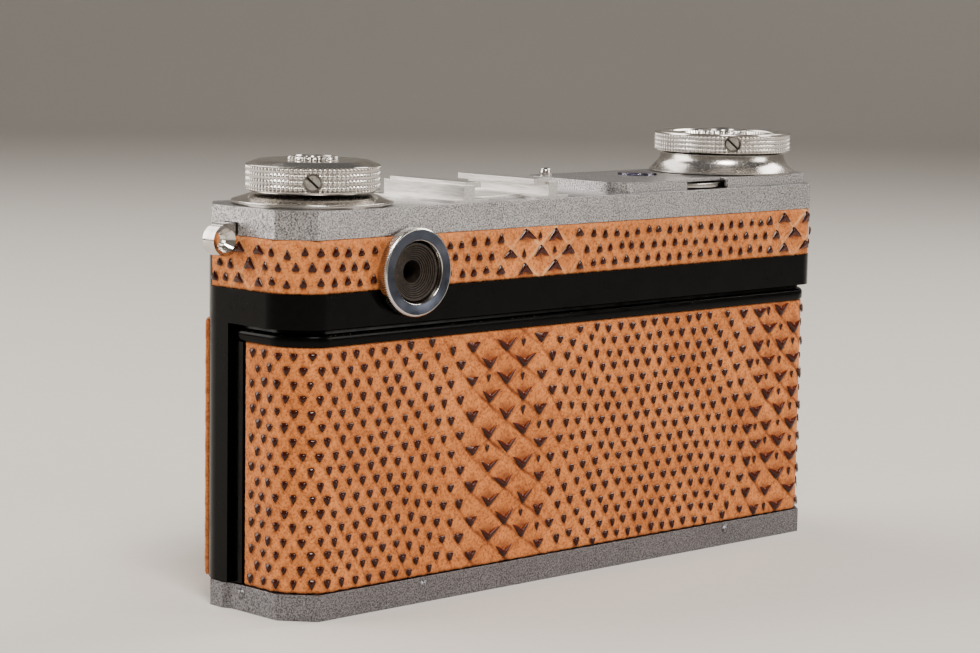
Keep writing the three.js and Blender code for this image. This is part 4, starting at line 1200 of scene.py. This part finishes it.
# ---------- lens ----------
class OBJECT_OT_camera_lens(CameraOperator, bpy.types.Operator):
    """Turn the lens mount, the focusing and aperture rings, the barrel and its glasses"""

    bl_idname = "object.camera_lens"
    bl_label = "Lens"

    def build(self, settings):
        x, _, z = centre("lens_mount_ring")

        def ring(name, node, finish, profile, segments, **options):
            """A piece turned about the lens axis; `profile` takes its near and far ends."""
            far, near = (-reach for reach in span(node, 1))
            return lathe(
                name, node, finish, profile(near, far), segments, about="lens_mount_ring", forward=True, **options,
            )

        def near_end(node):
            return -high(node)[1]

        def round_ring(radius, forward):
            def place(turn, side, out, up):
                return (
                    x + (radius + up) * math.cos(turn) - side * math.sin(turn),
                    -forward - out,
                    z + (radius + up) * math.sin(turn) + side * math.cos(turn),
                )
            return place

        ring("mount_flange", "lens_mount_ring", TURNED, lambda near, far: rounded([
            (15.4, near), (24.0, near), (24.0, far - 0.8, 0.2), (23.4, far - 0.1, 0.3), (22.6, far, 0.1),
            (15.4, far), (15.4, near),
        ]), 192)
        focus = near_end("focus_ring")
        ring("focusing_collar", "focus_ring", CHROME, lambda near, far: rounded([
            (15.4, near), (21.6, near, 0.1), (22.2, near + 0.4, 0.2), (22.2, near + 1.0), (22.2, near + 4.4),
            (22.2, near + 5.0, 0.1), (21.8, near + 5.3), (21.7, far - 1.4), (20.9, far, 0.5), (15.4, far),
            (15.4, near),
        ]), 60 * 10, relief=straight_ribs(60, focus + 0.6, focus + 5.0, 21.9, 0.45, 0.3), crisp=45)
        ticks("focus_marks", 48, round_ring(21.69, focus + 5.6), (0.9, 0.28, 0.05), "focus", every=6)
        barrel = ring("lens_tube", "lens_barrel", SATIN, lambda near, far: rounded([
            (12.9, near), (14.9, near, 0.3), (14.9, 27.2), (19.6, 27.2, 0.2), (19.6, 28.6), (19.35, 28.8),
            (19.35, 32.3), (19.6, 32.6, 0.1), (15.7, 32.6), (15.7, far), (13.4, far), (13.2, far - 0.3),
            (13.0, 27.2), (12.9, near),
        ]), 192, inner=BLACKENED[0])
        repaint(barrel, 1, lambda px, py, pz: np.hypot(px - x, pz - z) < 13.35)
        ticks("distance_marks", 36, round_ring(19.34, 29.0), (1.1, 0.28, 0.05), "lens_unit", every=4)
        aperture = near_end("aperture_ring")
        ring("aperture_collar", "aperture_ring", CHROME, lambda near, far: rounded([
            (16.0, near), (19.8, near, 0.1), (20.2, near + 0.3, 0.1), (20.2, near + 3.2), (20.2, near + 3.6, 0.1),
            (19.4, far, 0.2), (16.0, far), (16.0, near),
        ]), 110 * 8, relief=straight_ribs(110, aperture + 0.5, aperture + 3.4, 20.0, 0.3, 0.2), crisp=45)
        hood = ring("filter_thread", "filter_ring", CHROME, lambda near, far: [
            *rounded([(13.6, near), (18.8, near, 0.1), (18.8, far - 0.6, 0.2), (18.3, far, 0.3), (17.5, far, 0.1)]),
            *((17.3 - 0.28 * (i % 2) - i * 0.1, far - 0.25 - i * 0.16) for i in range(13)),
            (14.6, near + 1.5), (13.9, near + 1.4), (13.6, near + 1.2), (13.6, near),
        ], 192, inner=BLACKENED[0])
        behind = near_end("filter_ring") + 0.3
        repaint(hood, 1, lambda px, py, pz: (np.hypot(px - x, pz - z) < 17.4) & (-py > behind))
        ring("front_lens", "front_element", GLASS, lambda near, far: [
            (0, 35.4), (12.6, 36.2), (13.1, 36.5),
            *((13.1 * math.sin(a), 36.6 + 4.2 * math.cos(a)) for a in np.linspace(math.pi / 2 * 0.96, 0, 26)[:-1]),
            (0, 40.8),
        ], 128)
        ring("rear_lens", "rear_element", GLASS, lambda near, far: [
            (0, near),
            *((12.6 * math.sin(a), near + 2.0 * (1 - math.cos(a))) for a in np.linspace(0, math.pi / 2 * 0.98, 18)[1:]),
            (12.6, far), (0, far),
        ], 128)

        def ten_blades(angle, radius, height):
            flat = radius / np.cos((angle % (TURN / 10)) - TURN / 20) * 0.97
            return np.where(radius < 8, flat, radius), height
        ring("iris_blades", "iris", BLACKENED, lambda near, far: [
            (6.5, near), (12.7, near), (12.7, far), (6.5, far), (6.5, near),
        ], 120, relief=ten_blades)


# ---------- base and mechanism ----------
class OBJECT_OT_camera_works(CameraOperator, bpy.types.Operator):
    """Finish the base fittings, the shutter, the film transport and the rewind shaft"""

    bl_idname = "object.camera_works"
    bl_label = "Base fittings and works"

    def build(self, settings):
        for name, node, width, finish in (
            ("tripod_thread", "tripod_bush", 0.2, STEEL),
            ("key_rewind_side", "lock_key_rewind_side", 0.2, CHROME),
            ("key_wind_side", "lock_key_wind_side", 0.2, CHROME),
            ("rewind_fork", "rewind_fork_shaft", 0.15, STEEL),
            ("wind_spindle", "wind_shaft", 0.15, STEEL),
            ("wind_wheel", "wind_gear", 0.08, BRASS),
            ("sprocket_wheel", "sprocket_gear", 0.08, BRASS),
            ("sprocket_drum", "film_sprocket", 0.1, STEEL),
            ("take_up_drum", "take_up_spool", 0.2, BLACKENED),
            ("shutter_housing", "shutter_crate", 0.25, BLACKENED),
            ("upper_roller", "shutter_drum_upper", 0.2, BRASS),
            ("lower_roller", "shutter_drum_lower", 0.2, BRASS),
            ("shutter_slats", "shutter_blind", 0.06, BLACKENED),
            ("film_rails", "film_gate", 0.1, STEEL),
            ("film_pressure_plate", "pressure_plate", 0.2, BLACKENED),
            ("film_pressure_spring", "pressure_spring", 0.06, BRASS),
        ):
            refined(name, node, width, finish)


# ---------- stage ----------
VIEW = {
    "place": (0.35803, 0.36149, 0.10613), "azimuth": 136.09, "elevation": 6.95, "roll": 0.93,
    "lens": 101.4,
}


def looking_back(azimuth, elevation):
    """Direction from the scene to a viewer at an azimuth and elevation, in degrees; azimuth 0 is the front."""
    a, e = math.radians(azimuth), math.radians(elevation)
    return Vector((math.sin(a) * math.cos(e), -math.cos(a) * math.cos(e), math.sin(e)))


class OBJECT_OT_camera_stage(CameraOperator, bpy.types.Operator):
    """Set the floor, the soft studio lights and the viewpoint"""

    bl_idname = "object.camera_stage"
    bl_label = "Floor, lights and viewpoint"

    def execute(self, context):
        settings = context.scene.camera_looks
        tree = coat_of("pale_paper", Roughness=0.7)
        fibre = tuple(c * 0.97 for c in settings.floor_tone)
        surface(tree, ramp(tree, noise(tree, 2, 3.0), (0.3, fibre), (0.7, settings.floor_tone)))
        below = low("base_plate")[2] - 0.02
        bend = [(1500 + 700 * math.sin(a), below + 700 * (1 - math.cos(a))) for a in np.linspace(0, math.pi / 2, 24)]
        floor = turned("paper_sweep", [(0, below), *bend, (2200, 1500)], (0, 0), ["pale_paper"], 96)

        back = looking_back(VIEW["azimuth"], VIEW["elevation"])
        right = (-back).cross(Vector((0, 0, 1))).normalized()
        up = right.cross(-back)
        tilt = math.radians(VIEW["roll"])
        across = right * math.cos(tilt) + up * math.sin(tilt)
        upright = up * math.cos(tilt) - right * math.sin(tilt)
        lens = bpy.data.cameras.new("viewpoint")
        lens.lens = VIEW["lens"]
        lens.sensor_width = 36.0
        lens.clip_start = 0.01
        viewpoint = bpy.data.objects.new("viewpoint", lens)
        context.scene.collection.objects.link(viewpoint)
        turn = Matrix((across, upright, back)).transposed()
        viewpoint.matrix_world = Matrix.Translation(VIEW["place"]) @ turn.to_4x4()
        context.scene.camera = viewpoint

        middle = Vector(centre("body_casting")) * MM
        lights = (
            ("key_softbox", 146.0, 50.0, 0.85, 0.26, settings.key_light),
            ("side_softbox", 48.0, 22.0, 0.8, 0.5, settings.key_light * 0.75),
            ("back_softbox", 212.0, 20.0, 0.9, 0.34, settings.key_light * 0.35),
            ("edge_softbox", 262.0, 42.0, 0.9, 0.4, settings.key_light * 0.7),
            ("front_fill", 8.0, 43.0, 1.0, 0.6, settings.key_light * 0.7),
        )
        for name, azimuth, elevation, away, side, power in lights:
            lamp = bpy.data.lights.new(name, "AREA")
            lamp.shape = "SQUARE"
            lamp.size = side
            lamp.energy = power
            lamp.color = linear("FFF8F0")
            placed = bpy.data.objects.new(name, lamp)
            context.scene.collection.objects.link(placed)
            outward = looking_back(azimuth, elevation)
            placed.location = middle + outward * away
            placed.rotation_euler = outward.to_track_quat("Z", "Y").to_euler()
        world = bpy.data.worlds.new("studio_air")
        world.use_nodes = True
        air = world.node_tree.nodes["Background"]
        air.inputs["Color"].default_value = rgba("E9E7E4")
        air.inputs["Strength"].default_value = 0.2
        context.scene.world = world
        return {"FINISHED"}


# ---------- panel and registration ----------
OPERATORS = (
    OBJECT_OT_camera_stage, OBJECT_OT_camera_covering, OBJECT_OT_camera_shell, OBJECT_OT_camera_top,
    OBJECT_OT_camera_rewind_knob, OBJECT_OT_camera_wind_knob, OBJECT_OT_camera_eyepiece, OBJECT_OT_camera_lens,
    OBJECT_OT_camera_works,
)


class VIEW3D_PT_camera_looks(bpy.types.Panel):
    """Lists what the add-on builds, and the settings it builds from"""

    bl_label = "Rangefinder camera"
    bl_idname = "VIEW3D_PT_camera_looks"
    bl_space_type = "VIEW_3D"
    bl_region_type = "UI"
    bl_category = "Camera"

    def draw(self, context):
        settings = context.scene.camera_looks
        for name in settings.bl_rna.properties.keys():
            if name not in {"rna_type", "name"}:
                self.layout.prop(settings, name)
        for operator in OPERATORS:
            self.layout.operator(operator.bl_idname)


def register():
    for kind in (CameraLooks, *OPERATORS, VIEW3D_PT_camera_looks):
        bpy.utils.register_class(kind)
    bpy.types.Scene.camera_looks = PointerProperty(type=CameraLooks)


def unregister():
    del bpy.types.Scene.camera_looks
    for kind in reversed((CameraLooks, *OPERATORS, VIEW3D_PT_camera_looks)):
        bpy.utils.unregister_class(kind)


def main():
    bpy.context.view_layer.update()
    register()
    for operator in OPERATORS:
        group, name = operator.bl_idname.split(".")
        getattr(getattr(bpy.ops, group), name)()


if __name__ == "__main__":
    main()
